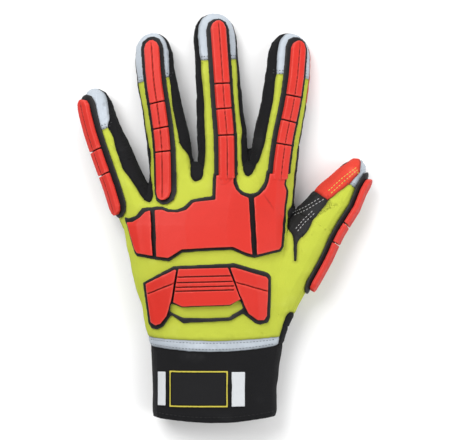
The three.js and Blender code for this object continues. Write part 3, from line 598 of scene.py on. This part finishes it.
@dataclass(frozen=True)
class Finish:
    """One finish, with its colours, relief and gloss.

    Attributes:
        name: The material's name.
        colour: Main colour, linear.
        shade: Colour between the yarns or in the pores.
        dirt_and_shade: Colour of soiled patches, and of the painted shade in hollows.
        edge: Colour of rubbed edges.
        pattern: Weave or grain.
        size: Yarn pitch in metres, or cells per metre.
        depth: Height of the relief, in metres.
        slant: Slant of the yarns.
        rough: Lowest and highest roughness.
        metallic: Metallic share.
        specular: Strength of the mirror-like part of the light.
        sheen: Weight of the cloth's sheen.
        wear: Strength of wear.
        hollow: Share of that colour painted as shade in hollows.
    """

    name: str
    colour: Colour
    shade: Colour
    dirt_and_shade: Colour
    edge: Colour
    pattern: Pattern
    size: float
    depth: float
    slant: float = 0.0
    rough: tuple[float, float] = (0.7, 0.9)
    metallic: float = 0.0
    specular: float = 0.3
    sheen: float = 0.0
    wear: float = 0.5
    hollow: float = 0.6

    def build(self, library: GroupLibrary) -> Material:
        """Builds the material.

        Args:
            library: The shared node groups.

        Returns:
            The material.
        """
        material = bpy.data.materials.new(self.name)
        material.use_nodes = True
        nodes = Nodes(material.node_tree)
        shader = material.node_tree.nodes["Principled BSDF"]
        if self.pattern is Pattern.WEAVE:
            relief = nodes.add("ShaderNodeGroup", node_tree=library.weave())
            relief.inputs["Pitch"].default_value = self.size
            relief.inputs["Slant"].default_value = self.slant
        else:
            relief = nodes.add("ShaderNodeGroup", node_tree=library.grain())
            relief.inputs["Scale"].default_value = self.size
        wear_and_shade = nodes.add("ShaderNodeGroup", node_tree=library.wear())
        wear_and_shade.inputs["Amount"].default_value = self.wear
        paint = nodes.mix(relief.outputs["Shade"], self.shade, self.colour)
        paint = nodes.mix(nodes.math("MULTIPLY", wear_and_shade.outputs["Soil"], SOIL_TINT), paint, self.dirt_and_shade)
        # Painted shade: hollows take on the dark colour, by the finish's hollow share
        paint = nodes.mix(nodes.math("MULTIPLY", wear_and_shade.outputs["Hollow"], self.hollow), paint, self.dirt_and_shade)
        paint = nodes.mix(wear_and_shade.outputs["Edge"], paint, self.edge)
        nodes.wire(paint, shader.inputs["Base Color"])
        gloss = nodes.math("ADD", nodes.span(relief.outputs["Shade"], self.rough[1], self.rough[0]),
                           nodes.math("MULTIPLY", wear_and_shade.outputs["Soil"], SOIL_DULLNESS))
        nodes.wire(gloss, shader.inputs["Roughness"])
        bump = nodes.add("ShaderNodeBump")
        bump.inputs["Strength"].default_value = 0.8
        bump.inputs["Distance"].default_value = self.depth
        nodes.wire(relief.outputs["Height"], bump.inputs["Height"])
        nodes.wire(bump.outputs[0], shader.inputs["Normal"])
        constants = {"Metallic": self.metallic, "Specular IOR Level": self.specular,
                     "Sheen Weight": self.sheen, "Sheen Roughness": 0.4}
        for name, value in constants.items():
            shader.inputs[name].default_value = value
        return material


# The third colour of each finish serves soiled patches and the painted shade in hollows
FINISHES: dict[Slot, Finish] = {
    Slot.KNIT: Finish(
        "knit_lime", (0.52, 0.575, 0.07), (0.36, 0.41, 0.035), (0.2, 0.215, 0.035), (0.6, 0.66, 0.16),
        Pattern.WEAVE, 0.85 * MM, 0.16 * MM, 0.35, (0.78, 0.94), specular=0.12, wear=0.35, hollow=0.75),
    Slot.REFLECTIVE: Finish(
        "reflective_cloth", (0.49, 0.54, 0.59), (0.34, 0.38, 0.43), (0.13, 0.145, 0.16),
        (0.66, 0.7, 0.76), Pattern.WEAVE, 0.55 * MM, 0.06 * MM, 1.0, (0.36, 0.62), metallic=0.2,
        specular=0.35, wear=0.5, hollow=0.6),
    Slot.SIDE_FABRIC: Finish(
        "side_cloth", (0.014, 0.014, 0.015), (0.005, 0.005, 0.006), (0.004, 0.004, 0.004),
        (0.04, 0.04, 0.042), Pattern.WEAVE, 0.7 * MM, 0.14 * MM, 0.0, (0.8, 0.95), specular=0.12,
        sheen=0.04, wear=0.4),
    Slot.PALM_LEATHER: Finish(
        "palm_leather", (0.018, 0.018, 0.019), (0.008, 0.008, 0.009), (0.006, 0.006, 0.005),
        (0.06, 0.058, 0.055), Pattern.GRAIN, 900, 0.18 * MM, rough=(0.5, 0.75), specular=0.2, wear=0.6),
    Slot.CUFF_KNIT: Finish(
        "cuff_cloth", (0.015, 0.015, 0.016), (0.005, 0.005, 0.006), (0.004, 0.004, 0.004),
        (0.045, 0.045, 0.047), Pattern.WEAVE, 1.0 * MM, 0.2 * MM, 0.0, (0.85, 0.95), specular=0.1,
        sheen=0.05, wear=0.3),
    Slot.GUARD_RED: Finish(
        "guard_red", (0.56, 0.024, 0.014), (0.47, 0.017, 0.01), (0.045, 0.003, 0.002),
        (0.66, 0.09, 0.07), Pattern.GRAIN, 1500, 0.035 * MM, rough=(0.38, 0.54), specular=0.22,
        wear=0.45, hollow=0.95),
    Slot.GUARD_BLACK: Finish(
        "guard_black", (0.011, 0.011, 0.012), (0.006, 0.006, 0.007), (0.004, 0.004, 0.004),
        (0.045, 0.043, 0.042), Pattern.GRAIN, 1500, 0.04 * MM, rough=(0.45, 0.62), specular=0.16,
        wear=0.5),
    Slot.PATCH_RED: Finish(
        "patch_red", (0.66, 0.055, 0.033), (0.46, 0.028, 0.017), (0.09, 0.01, 0.007),
        (0.76, 0.19, 0.13), Pattern.GRAIN, 1000, 0.14 * MM, rough=(0.6, 0.82), specular=0.15, wear=0.6),
    Slot.LABEL_BLACK: Finish(
        "label_black", (0.013, 0.013, 0.014), (0.006, 0.006, 0.007), (0.004, 0.004, 0.004),
        (0.04, 0.04, 0.04), Pattern.WEAVE, 0.45 * MM, 0.08 * MM, 0.0, (0.65, 0.85), specular=0.15,
        wear=0.3),
    Slot.LABEL_YELLOW: Finish(
        "label_yellow", (0.62, 0.54, 0.08), (0.4, 0.34, 0.04), (0.12, 0.1, 0.02),
        (0.74, 0.68, 0.26), Pattern.WEAVE, 0.45 * MM, 0.08 * MM, 1.0, (0.55, 0.8), specular=0.2,
        wear=0.4),
    Slot.LABEL_WHITE: Finish(
        "label_white", (0.62, 0.64, 0.66), (0.44, 0.46, 0.48), (0.22, 0.22, 0.22),
        (0.75, 0.75, 0.75), Pattern.WEAVE, 0.5 * MM, 0.07 * MM, 0.0, (0.55, 0.75), specular=0.2,
        wear=0.4),
}

THREADS: dict[str, tuple[Slot, Colour]] = {
    "grey": (Slot.REFLECTIVE, (0.075, 0.08, 0.09)),
    "black": (Slot.SIDE_FABRIC, (0.01, 0.01, 0.011)),
    "yellow": (Slot.LABEL_YELLOW, (0.78, 0.74, 0.12)),
    "white": (Slot.LABEL_WHITE, (0.62, 0.62, 0.62)),
}


def thread_finish(name: str, colour: Colour) -> Finish:
    """The finish of a sewing thread, from its key in THREADS and its linear colour."""
    dark = tuple(0.5 * part for part in colour)
    return Finish(f"thread_{name}", colour, dark, dark, colour, Pattern.WEAVE, 0.3 * MM, 0.05 * MM,
                  1.0, (0.5, 0.75), wear=0.2)


@dataclass
class Wardrobe:
    """Dresses pieces in their finishes, each built once.

    Attributes:
        library: The shared node groups.
        made: The materials built so far, by name.
    """

    library: GroupLibrary = field(default_factory=GroupLibrary)
    made: dict[str, Material] = field(default_factory=dict)

    def dress(self, piece: Object, slot: Slot, *nodes: str, finish: Finish | None = None) -> None:
        """Gives a piece its finish, the slot's own unless another is given, and puts it on the body.

        Args:
            piece: The mesh object.
            slot: The record's slot.
            nodes: The CAD nodes that it stands for.
            finish: Its finish, if not the slot's own.
        """
        finish = finish or FINISHES[slot]
        if finish.name not in self.made:
            self.made[finish.name] = finish.build(self.library)
        piece.data.materials.clear()
        piece.data.materials.append(self.made[finish.name])
        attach(piece, "root")
        if nodes:
            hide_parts(*nodes)
        LOG.info("%s: %d faces", piece.name, len(piece.data.polygons))


def mark_relief(piece: Object, links: Links, rounds: int, gain: float) -> None:
    """Stores where a piece has rubbed edges, and where it has hollows that the finish darkens with painted
    shade.

    Args:
        piece: The mesh object.
        links: Its edges.
        rounds: Reach of the marks, in rounds of smoothing.
        gain: How strongly a millimetre above or below the smoothed surface counts.
    """
    points = points_of(piece)
    depth = np.sum((links.smooth(points, rounds) - points) * normals_of(piece), axis=1) / MM * gain
    depth = links.smooth(depth[:, None], 1)[:, 0]
    write_attribute(piece, "edge", np.clip(-depth - 0.3, 0, 1))
    # The hollow marks receive painted shade in the finish
    write_attribute(piece, "hollow", np.clip(depth - 0.1, 0, 1))


# Sewn cloth


CLOTH: dict[str, Slot] = {
    "back_panel": Slot.KNIT,
    "palm_panel": Slot.PALM_LEATHER,
    "cuff": Slot.CUFF_KNIT,
    "side_gusset": Slot.SIDE_FABRIC,
    "reflective_band": Slot.REFLECTIVE,
    "fourchette_pinky_ring": Slot.SIDE_FABRIC,
    "fourchette_ring_middle": Slot.SIDE_FABRIC,
    "fourchette_middle_index": Slot.SIDE_FABRIC,
    **{f"front_{name}": Slot.PALM_LEATHER for name in FINGERS},
    **{f"tip_{name}": Slot.REFLECTIVE for name in FINGERS},
    "index_patch": Slot.PATCH_RED,
    "thumb_patch": Slot.PATCH_RED,
}


@dataclass
class Gap:
    """The way from each point of a piece to the nearest other cloth.

    Attributes:
        distance: Its length, in metres, or the reach where nothing is near.
        toward: Its direction.
    """

    distance: np.ndarray
    toward: np.ndarray

    @classmethod
    def measure(cls, points: np.ndarray, others: BVHTree, reach: float = 8 * MM) -> "Gap":
        """Measures the gap at each point.

        Args:
            points: Points in metres.
            others: The other pieces of cloth.
            reach: How far to look, in metres.

        Returns:
            The gap.
        """
        toward = np.zeros_like(points)
        distance = np.full(len(points), reach)
        for row, point in enumerate(points):
            place, _, _, length = others.find_nearest(point, reach)
            if place is not None:
                distance[row] = length
                toward[row] = (np.array(place) - point) / max(length, 1e-6)
        return cls(distance, toward)


@dataclass
class SeamLines:
    """Takes the small steps out of the seam lines, alike for both pieces at a seam.

    Attributes:
        width: Widest gap that counts as a seam, in metres.
        reach: Length over which a line is evened out, in metres.
        rounds: How often it is evened out.
        spread: How far into the cloth the change runs out, in metres.
        moves: How far each point of the seams moves, in metres.
        tree: Finds points of the seams.
    """

    width: float = 0.45 * MM
    reach: float = 3 * MM
    rounds: int = 2
    spread: float = 4 * MM
    moves: np.ndarray | None = None
    tree: KDTree | None = None

    def build(self, cloth: list[tuple[np.ndarray, Gap]]) -> None:
        """Evens out the seam lines.

        Args:
            cloth: The points of each piece and their gaps to the others.
        """
        parts = [(points[gap.distance < self.width], gap.toward[gap.distance < self.width])
                 for points, gap in cloth]
        start = np.concatenate([points for points, _ in parts])
        toward = np.concatenate([ways for _, ways in parts])
        piece = np.repeat(np.arange(len(parts)), [len(points) for points, _ in parts])
        self.tree = tree_of(start)
        around = [[index for _, index, _ in self.tree.find_range(point, self.reach)] for point in start]
        flat = np.concatenate([np.array(rows) for rows in around])
        owner = np.repeat(np.arange(len(start)), [len(rows) for rows in around])
        facing = np.sum(toward[owner] * toward[flat], axis=1)
        across = -0.3
        same_side = np.where(piece[owner] == piece[flat], facing, -facing) > across
        owner, flat = owner[same_side], flat[same_side]
        sizes = np.maximum(1, np.bincount(owner, minlength=len(start)))
        points = start
        for _ in range(self.rounds):
            sums = [np.bincount(owner, points[flat, axis], len(start)) for axis in range(3)]
            points = np.stack(sums, axis=1) / sizes[:, None]
        self.moves = points - start

    def sample(self, points: np.ndarray, normals: np.ndarray) -> np.ndarray:
        """Gives the moves near the seams, along the cloth alone.

        Args:
            points: Points in metres.
            normals: The cloth's normals there.

        Returns:
            The moves, in metres.
        """
        rows, weights, away = nearest(self.tree, points, count=6, soft=0.3 * MM)
        moves = np.einsum("ij,ijk->ik", weights, self.moves[rows])
        moves *= np.exp(-(away[:, None] / self.spread) ** 2)
        return moves - np.sum(moves * normals, axis=1, keepdims=True) * normals


@dataclass
class ClothShell:
    """All sewn pieces of the glove, with seams and creases.

    Attributes:
        form: The smooth form that they follow.
        wardrobe: Where the finishes come from.
        fine: Longest edge of the net beside a seam, in metres.
        plain: Longest edge elsewhere on the outside.
        coarse: Longest edge in the hollow.
        seam_depth: How far the cloth draws in at a seam, in metres.
        seam_width: How far a seam's hollow reaches, in metres.
        fold: Height of the soft folds, in metres.
        pucker: Height of the small puckers beside a seam, in metres.
        pieces: The finished pieces by node.
        gaps: The way from each of them to the others.
    """

    form: SmoothForm
    wardrobe: Wardrobe
    fine: float = 0.85 * MM
    plain: float = 1.5 * MM
    coarse: float = 5 * MM
    seam_depth: float = 0.5 * MM
    seam_width: float = 1.3 * MM
    fold: float = 0.5 * MM
    pucker: float = 0.25 * MM
    pieces: dict[str, Object] = field(default_factory=dict)
    gaps: dict[str, Gap] = field(default_factory=dict)

    def build(self) -> None:
        """Builds and dresses every sewn piece."""
        for node in CLOTH:
            others = surface_of([bpy.data.objects[name] for name in CLOTH if name != node])
            piece = copy_node(node, f"cloth_{node}")
            self.refine(piece, others)
            self.pieces[node] = piece
            self.gaps[node] = Gap.measure(points_of(piece), others)
        seams = SeamLines()
        seams.build([(points_of(piece), self.gaps[node]) for node, piece in self.pieces.items()])
        for node, piece in self.pieces.items():
            self.shape(piece, self.gaps[node], seams)
            self.wardrobe.dress(piece, CLOTH[node], node)
        self.tuck_lining()

    def tuck_lining(self) -> None:
        """Sinks the lining where it would come too near the outside of the cloth."""
        surface = surface_of(list(self.pieces.values()))
        lining = self.form.lining
        points, normals = points_of(lining), normals_of(lining)
        look, cover, through = 3 * MM, 0.35 * MM, 0.6 * MM
        for row in np.flatnonzero(self.form.outer > 0.5):
            point, normal = Vector(points[row]), Vector(normals[row])
            above = surface.ray_cast(point, normal, look)[3]
            if above is None:
                below = surface.ray_cast(point, -normal, look)[3]
                points[row] -= normals[row] * (through + (below or 0))
            elif above < cover:
                points[row] -= normals[row] * (cover - above)
        place_points(lining, points)
        thin_out(lining, LINING_KEPT)

    def limits(self, points: np.ndarray, others: BVHTree) -> np.ndarray:
        """Gives the longest edge allowed at each point.

        Args:
            points: Points in metres.
            others: The other pieces of cloth.

        Returns:
            One length for each point, in metres.
        """
        _, _, outer = self.form.sample(points)
        reach = 3 * MM
        near = np.array([others.find_nearest(point, reach)[0] is not None for point in points])
        return np.where(outer < 0.25, self.coarse, np.where(near, self.fine, self.plain))

    def refine(self, piece: Object, others: BVHTree) -> None:
        """Halves long edges until the net is even, and keeps the piece's own outline exact.

        Args:
            piece: The mesh object.
            others: The other pieces of cloth.
        """
        limit = np.empty(0)
        most_rounds, few = 9, 3
        for _ in range(most_rounds):
            points = points_of(piece)
            limit = np.concatenate([limit, self.limits(points[len(limit):], others)])
            pairs = edges_of(piece)
            length = np.linalg.norm(points[pairs[:, 0]] - points[pairs[:, 1]], axis=1)
            long = length > np.minimum(limit[pairs[:, 0]], limit[pairs[:, 1]])
            if long.sum() < few:
                return
            with editing(piece, whole=False):
                bpy.ops.mesh.select_mode(type="EDGE")
                bpy.ops.mesh.select_all(action="DESELECT")
            piece.data.edges.foreach_set("select", long)
            with editing(piece, whole=False):
                bpy.ops.mesh.subdivide(number_cuts=1)
                bpy.ops.mesh.select_all(action="SELECT")
                bpy.ops.mesh.quads_convert_to_tris(quad_method="SHORTEST_DIAGONAL", ngon_method="BEAUTY")
                bpy.ops.mesh.beautify_fill(angle_limit=math.radians(2))

    def shape(self, piece: Object, gap: Gap, seams: SeamLines) -> None:
        """Rounds one piece and gives it seams, puckers and folds.

        Args:
            piece: The mesh object.
            gap: Its way to the other pieces of cloth.
            seams: The eased seam lines.
        """
        points = points_of(piece)
        distance = gap.distance
        moves, normals, outer = self.form.sample(points)
        outer = np.clip(2 * outer, 0, 1)
        half, furthest, reach = 0.47, 0.15 * MM, 1.3
        close = np.minimum(half * distance, furthest) * np.clip(reach - distance / MM, 0, 1)
        eased = seams.sample(points, normals)
        points = points + moves + gap.toward * close[:, None] + eased
        near = np.exp(-(distance / self.seam_width) ** 2)
        row_away, row_width, floor = 2.2 * MM, 2 * MM, 0.05 * MM
        beside = np.exp(-((distance - row_away) / row_width) ** 2)
        rise = -self.seam_depth * near
        rise += self.pucker * beside * wave_noise(points, size=2.6 * MM, seed=3.1)
        stretched = points * np.array([0.8, 1.25, 1.0])
        rise += self.fold * wave_noise(stretched, size=13 * MM, seed=7.7)
        rise += 0.35 * self.fold * wave_noise(stretched, size=5 * MM, seed=1.3)
        points += normals * (rise * outer)[:, None]
        points[:, 2] = np.maximum(points[:, 2], floor)
        place_points(piece, points)
        pick(piece)
        bpy.ops.object.shade_smooth()
        # Painted shade along the seam dips, through the finish's hollow share
        write_attribute(piece, "hollow", np.clip(near * 1.1 - 0.05, 0, 1))
        write_attribute(piece, "edge", np.clip(rise / self.fold - 0.3, 0, 1) * (1 - near))


# Guards


@dataclass
class Guards:
    """Red pads and plates on black flanges.

    Attributes:
        form: The smooth form under them.
        wardrobe: Where the finishes come from.
        plate_voxel: Face size of plates and flanges, in metres.
        pad_voxel: Face size of the red pads, in metres.
        rib_voxel: Face size of the ribbed plate, in metres.
        blend_from: Where the plates start to follow the fingers alone, in metres along +Y.
        blend_to: Where they do so fully.
    """

    form: SmoothForm
    wardrobe: Wardrobe
    plate_voxel: float = 0.5 * MM
    pad_voxel: float = 0.34 * MM
    rib_voxel: float = 0.25 * MM
    blend_from: float = 50 * MM
    blend_to: float = 60 * MM

    def build(self, nodes: list[str]) -> None:
        """Builds every guard node.

        Args:
            nodes: All nodes of the glove.
        """
        for node in nodes:
            if "guard_base" in node:
                self.shape(node, Slot.GUARD_BLACK, self.plate_voxel, 3)
            elif node == "hand_pad_centre":
                self.shape(node, Slot.GUARD_RED, self.rib_voxel, 4)
            elif "_pad_" in node:
                self.shape(node, Slot.GUARD_RED, self.pad_voxel, 3)

    def shape(self, node: str, slot: Slot, voxel: float, rounds: int) -> None:
        """Rebuilds one guard node with softened edges.

        Args:
            node: The CAD node.
            slot: Its finish.
            voxel: Face size, in metres.
            rounds: How often its net is smoothed.
        """
        piece = copy_node(node, f"guard_{node}")
        remesh(piece, voxel)
        links = Links(piece)
        points = points_of(piece)
        if node.startswith(("hand", "knuckle")):
            along = np.clip((self.blend_to - points[:, 1]) / (self.blend_to - self.blend_from), 0, 1)
            share = along * along * (3 - 2 * along)
            points = points + self.form.sample(points)[0] * share[:, None]
        place_points(piece, links.smooth(points, rounds, 0.5))
        mark_relief(piece, links, round(9 * self.plate_voxel / voxel), 9.0)
        thin_out(piece, GUARD_KEPT)
        self.wardrobe.dress(piece, slot, node)


# Labels on the cuff


@dataclass
class Labels:
    """The name label with its frame, the size tab and the writing strip, all bare.

    Attributes:
        form: The smooth form under them.
        wardrobe: Where the finishes come from.
        voxel: Face size of their nets, in metres.
    """

    form: SmoothForm
    wardrobe: Wardrobe
    voxel: float = 0.35 * MM

    def build(self) -> None:
        """Builds the four labels."""
        slots = {
            "name_label": Slot.LABEL_BLACK,
            "label_frame": Slot.LABEL_YELLOW,
            "size_tab": Slot.LABEL_WHITE,
            "write_strip": Slot.LABEL_WHITE,
        }
        for node, slot in slots.items():
            piece = copy_node(node, f"label_{node}")
            remesh(piece, self.voxel)
            links = Links(piece)
            points = points_of(piece)
            points = links.smooth(points + self.form.sample(points)[0], 2, 0.5)
            points[:, 2] += 0.12 * MM * wave_noise(points, size=6 * MM, seed=4.4)
            place_points(piece, points)
            mark_relief(piece, links, 6, 3.0)
            thin_out(piece, LABEL_KEPT)
            self.wardrobe.dress(piece, slot, node)


# Thread


@dataclass(frozen=True)
class Stitch:
    """One kind of stitch.

    Attributes:
        thread: A key of THREADS.
        pitch: From one stitch to the next, in millimetres.
        length: Length of a stitch, in millimetres.
        width: Thickness of the thread, in millimetres.
    """

    thread: str
    pitch: float
    length: float
    width: float


TIP_STITCH = Stitch("grey", 1.9, 1.1, 0.42)
BAND_STITCH = Stitch("grey", 2.0, 1.2, 0.42)
PATCH_STITCH = Stitch("yellow", 2.1, 1.5, 0.5)
TONGUE_STITCH = Stitch("white", 2.2, 1.5, 0.42)
HEM_STITCH = Stitch("black", 2.6, 1.9, 0.55)


@dataclass
class Seamstress:
    """Lays rows of stitches on the finished surface.

    Attributes:
        wardrobe: Where the thread comes from.
        pieces: The finished pieces that carry stitches.
        surface: Finds places on them.
    """

    wardrobe: Wardrobe
    pieces: list[Object]
    surface: BVHTree | None = None

    def prepare(self) -> None:
        """Builds one surface of all pieces to lay thread on."""
        self.surface = surface_of(self.pieces)

    def drop(self, x: float, y: float) -> Vector | None:
        """Finds the surface straight below a place in metres, or None beside the glove."""
        above = 0.08
        return self.surface.ray_cast(Vector((x, y, above)), Vector((0, 0, -1)))[0]

    def row(self, name: str, line: list[tuple[float, float]], kind: Stitch) -> None:
        """Lays one row of stitches along a line seen from above.

        Args:
            name: The row's name.
            line: Its points in millimetres.
            kind: Its stitches.
        """
        found = self.trace(line, kind.width)
        if len(found) < 3:
            LOG.info("%s: no surface", name)
            return
        curve = bpy.data.curves.new(name + "_line", "CURVE")
        curve.dimensions = "3D"
        spline = curve.splines.new("POLY")
        spline.points.add(len(found) - 1)
        for point, place in zip(spline.points, found):
            point.co = (*place, 1)
        guide = bpy.data.objects.new(name + "_line", curve)
        bpy.context.scene.collection.objects.link(guide)
        bpy.ops.object.select_all(action="DESELECT")
        bpy.ops.mesh.primitive_uv_sphere_add(segments=6, ring_count=4, radius=0.5 * MM)
        stitch = bpy.context.object
        stitch.name = name
        with editing(stitch):
            bpy.ops.transform.rotate(value=math.pi / 2, orient_axis="Y", center_override=(0, 0, 0))
            bpy.ops.transform.resize(value=(kind.length, kind.width, kind.width), center_override=(0, 0, 0))
            bpy.ops.transform.translate(value=(0.5 * kind.length * MM, 0, 0))
        modify(stitch, "ARRAY", fit_type="FIT_CURVE", curve=guide, use_relative_offset=False,
               use_constant_offset=True, constant_offset_displace=(kind.pitch * MM, 0, 0))
        modify(stitch, "CURVE", object=guide, deform_axis="POS_X")
        bpy.data.objects.remove(guide)
        pick(stitch)
        bpy.ops.object.shade_smooth()
        slot, colour = THREADS[kind.thread]
        self.wardrobe.dress(stitch, slot, finish=thread_finish(kind.thread, colour))

    def trace(self, line: list[tuple[float, float]], width: float) -> list[Vector]:
        """Lays a line on the surface in short steps.

        Args:
            line: Points in millimetres.
            width: Thickness of the thread, in millimetres.

        Returns:
            Points just above the surface, in metres.
        """
        found: list[Vector] = []
        step, lift = 0.7, 0.12
        for (x0, y0), (x1, y1) in zip(line, line[1:]):
            steps = max(1, round(math.hypot(x1 - x0, y1 - y0) / step))
            for i in range(steps + (line[-1] == (x1, y1))):
                share = i / steps
                place = self.drop((x0 + (x1 - x0) * share) * MM, (y0 + (y1 - y0) * share) * MM)
                if place is not None:
                    found.append(place + Vector((0, 0, lift * width * MM)))
        heights = [place.z for place in found]
        for i, place in enumerate(found):
            around = heights[max(0, i - 1):i + 2]
            place.z = sum(around) / len(around)
        return found


@dataclass(frozen=True)
class TipSeam:
    """Where a silver fingertip is sewn to the knit, seen from above.

    Attributes:
        name: The finger.
        middle: Middle of the seam, in millimetres.
        heading: Direction of the finger from +Y toward +X, in degrees.
        left: Reach to the left, in millimetres.
        right: Reach to the right.
    """

    name: str
    middle: tuple[float, float]
    heading: float
    left: float
    right: float

    def line(self, ahead: float) -> list[tuple[float, float]]:
        """The row across the finger, a distance ahead of the seam.

        Args:
            ahead: Distance toward the tip, in millimetres.

        Returns:
            Points in millimetres.
        """
        turn = math.radians(self.heading)
        along, across = (math.sin(turn), math.cos(turn)), (math.cos(turn), -math.sin(turn))
        return [
            (self.middle[0] + along[0] * ahead + across[0] * side,
             self.middle[1] + along[1] * ahead + across[1] * side)
            for side in np.linspace(-self.left, self.right, 9)
        ]


TIP_SEAMS = (
    TipSeam("pinky", (-64.0, 84.0), -18.4, 9.0, 4.5),
    TipSeam("ring", (-33.0, 114.0), -7.0, 11.5, 9.5),
    TipSeam("middle", (3.0, 125.2), -2.4, 9.5, 11.5),
    TipSeam("index", (46.6, 115.8), 5.7, 10.5, 12.0),
    TipSeam("thumb", (82.5, 49.6), 30.7, 5.0, 3.6),
)


@dataclass
class Sewing:
    """All visible rows of stitches.

    Attributes:
        hands: Lays each row.
    """

    hands: Seamstress

    def build(self) -> None:
        """Lays every row."""
        self.hands.prepare()
        for seam in TIP_SEAMS:
            for number, ahead in enumerate((1.2, 3.0)):
                self.hands.row(f"stitch_tip_{seam.name}_{number + 1}", seam.line(ahead), TIP_STITCH)
        self.hands.row("stitch_band_top", self.across(-38.6, 4.5), BAND_STITCH)
        self.hands.row("stitch_band_bottom", self.across(-39.6, 7.2), BAND_STITCH)
        self.patch_rows()
        self.hands.row("stitch_hem", self.across(-79.6, 7.6), HEM_STITCH)

    def across(self, level: float, sag: float) -> list[tuple[float, float]]:
        """Draws a line across the wrist that bows toward the hem.

        Args:
            level: Where it would meet the widest part of the hand, in millimetres along +Y.
            sag: How far its middle lies below that, in millimetres.

        Returns:
            Points in millimetres.
        """
        half, widest = 36.5, 56.25
        return [(half * share, level - sag * (1 - (half * share / widest) ** 2))
                for share in np.linspace(-1, 1, 25)]

    def patch_rows(self) -> None:
        """Yellow rows on the thumb patch and double white rows on the palm's tongue."""
        edge = [(87.6, 57.5), (87.0, 60.0), (79.5, 53.6), (70.6, 45.6)]
        inner = [(86.4, 61.4), (78.2, 55.4), (69.0, 47.0)]
        self.hands.row("stitch_thumb_edge", edge, PATCH_STITCH)
        self.hands.row("stitch_thumb_inner", inner, PATCH_STITCH)
        upper = ((48.6, 33.6), (56.0, 37.0), (65.0, 42.4))
        lower = ((50.4, 24.0), (55.0, 29.5), (60.4, 34.6))
        for name, line in (("upper", upper), ("lower", lower)):
            for number, shift in enumerate((0.9, -0.9)):
                row = [(x - 0.6 * shift, y + 0.8 * shift) for x, y in line]
                self.hands.row(f"stitch_tongue_{name}_{number + 1}", row, TONGUE_STITCH)


# Studio


@dataclass
class Studio:
    """Pale floor, soft lights and the camera over the back of the hand.

    Attributes:
        centre: The point in the middle of the picture, in metres.
        width: Width of the picture at the glove, in metres.
        lens: Focal length, in millimetres.
    """

    centre: tuple[float, float, float] = (8.1 * MM, 30 * MM, 15 * MM)
    width: float = 270.6 * MM
    lens: float = 180.0

    def build(self) -> None:
        """Builds floor, world, lights and camera."""
        self.floor()
        self.world()
        self.light("key", (-0.45, 0.55, 0.95), 0.7, 11.0)
        self.light("fill", (0.75, -0.1, 0.8), 0.9, 6.0)
        self.light("rim", (0.05, 1.0, 0.5), 0.6, 3.0)
        self.camera()

    def floor(self) -> None:
        """Adds the floor, with a faint mottling."""
        bpy.ops.object.select_all(action="DESELECT")
        bpy.ops.mesh.primitive_plane_add(size=6)
        floor = bpy.context.object
        floor.name = "floor"
        material = bpy.data.materials.new("floor")
        material.use_nodes = True
        nodes = Nodes(material.node_tree)
        shader = material.node_tree.nodes["Principled BSDF"]
        mottle = nodes.add("ShaderNodeTexNoise")
        mottle.inputs["Scale"].default_value = 3
        nodes.wire(nodes.mix(mottle.outputs[0], (0.88, 0.88, 0.88), (0.92, 0.92, 0.92)),
                   shader.inputs["Base Color"])
        shader.inputs["Roughness"].default_value = 0.9
        floor.data.materials.append(material)

    def world(self) -> None:
        """Adds an even pale surround."""
        world = bpy.data.worlds.new("studio")
        world.use_nodes = True
        surround = world.node_tree.nodes["Background"]
        surround.inputs["Color"].default_value = (1, 1, 1, 1)
        surround.inputs["Strength"].default_value = 0.55
        bpy.context.scene.world = world
        bpy.context.scene.view_settings.view_transform = "Standard"

    def light(self, name: str, place: tuple[float, float, float], size: float, power: float) -> None:
        """Adds a soft square light that faces the glove.

        Args:
            name: The light's name.
            place: Where it stands, in metres.
            size: Its side, in metres.
            power: Its power, in watts.
        """
        data = bpy.data.lights.new(name, "AREA")
        data.size = size
        data.energy = power
        lamp = bpy.data.objects.new(name, data)
        bpy.context.scene.collection.objects.link(lamp)
        lamp.location = place
        toward = Vector(self.centre) - Vector(place)
        lamp.rotation_euler = toward.to_track_quat("-Z", "Y").to_euler()

    def camera(self) -> None:
        """Puts the camera straight above the back of the hand."""
        data = bpy.data.cameras.new("camera")
        data.lens = self.lens
        data.sensor_fit = "HORIZONTAL"
        data.sensor_width = 36
        height = self.width * self.lens / data.sensor_width
        camera = bpy.data.objects.new("camera", data)
        bpy.context.scene.collection.objects.link(camera)
        camera.matrix_world = Matrix.Translation(Vector(self.centre) + Vector((0, 0, height)))
        bpy.context.scene.camera = camera


def plain(bounds: object) -> list[list[float]]:
    """Turns a pair of corners into plain lists."""
    return [[float(value) for value in corner] for corner in bounds]


def main() -> None:
    """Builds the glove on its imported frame."""
    logging.basicConfig(level=logging.INFO, format="%(name)s: %(message)s")
    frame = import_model()
    Studio().build()
    wardrobe = Wardrobe()
    form = SmoothForm()
    form.build(list(CLOTH))
    wardrobe.dress(form.lining, Slot.CUFF_KNIT)
    cloth = ClothShell(form, wardrobe)
    cloth.build()
    Guards(form, wardrobe).build(sorted(frame["nodes"]))
    Labels(form, wardrobe).build()
    Sewing(Seamstress(wardrobe, list(cloth.pieces.values()))).build()


if __name__ == "__main__":
    main()
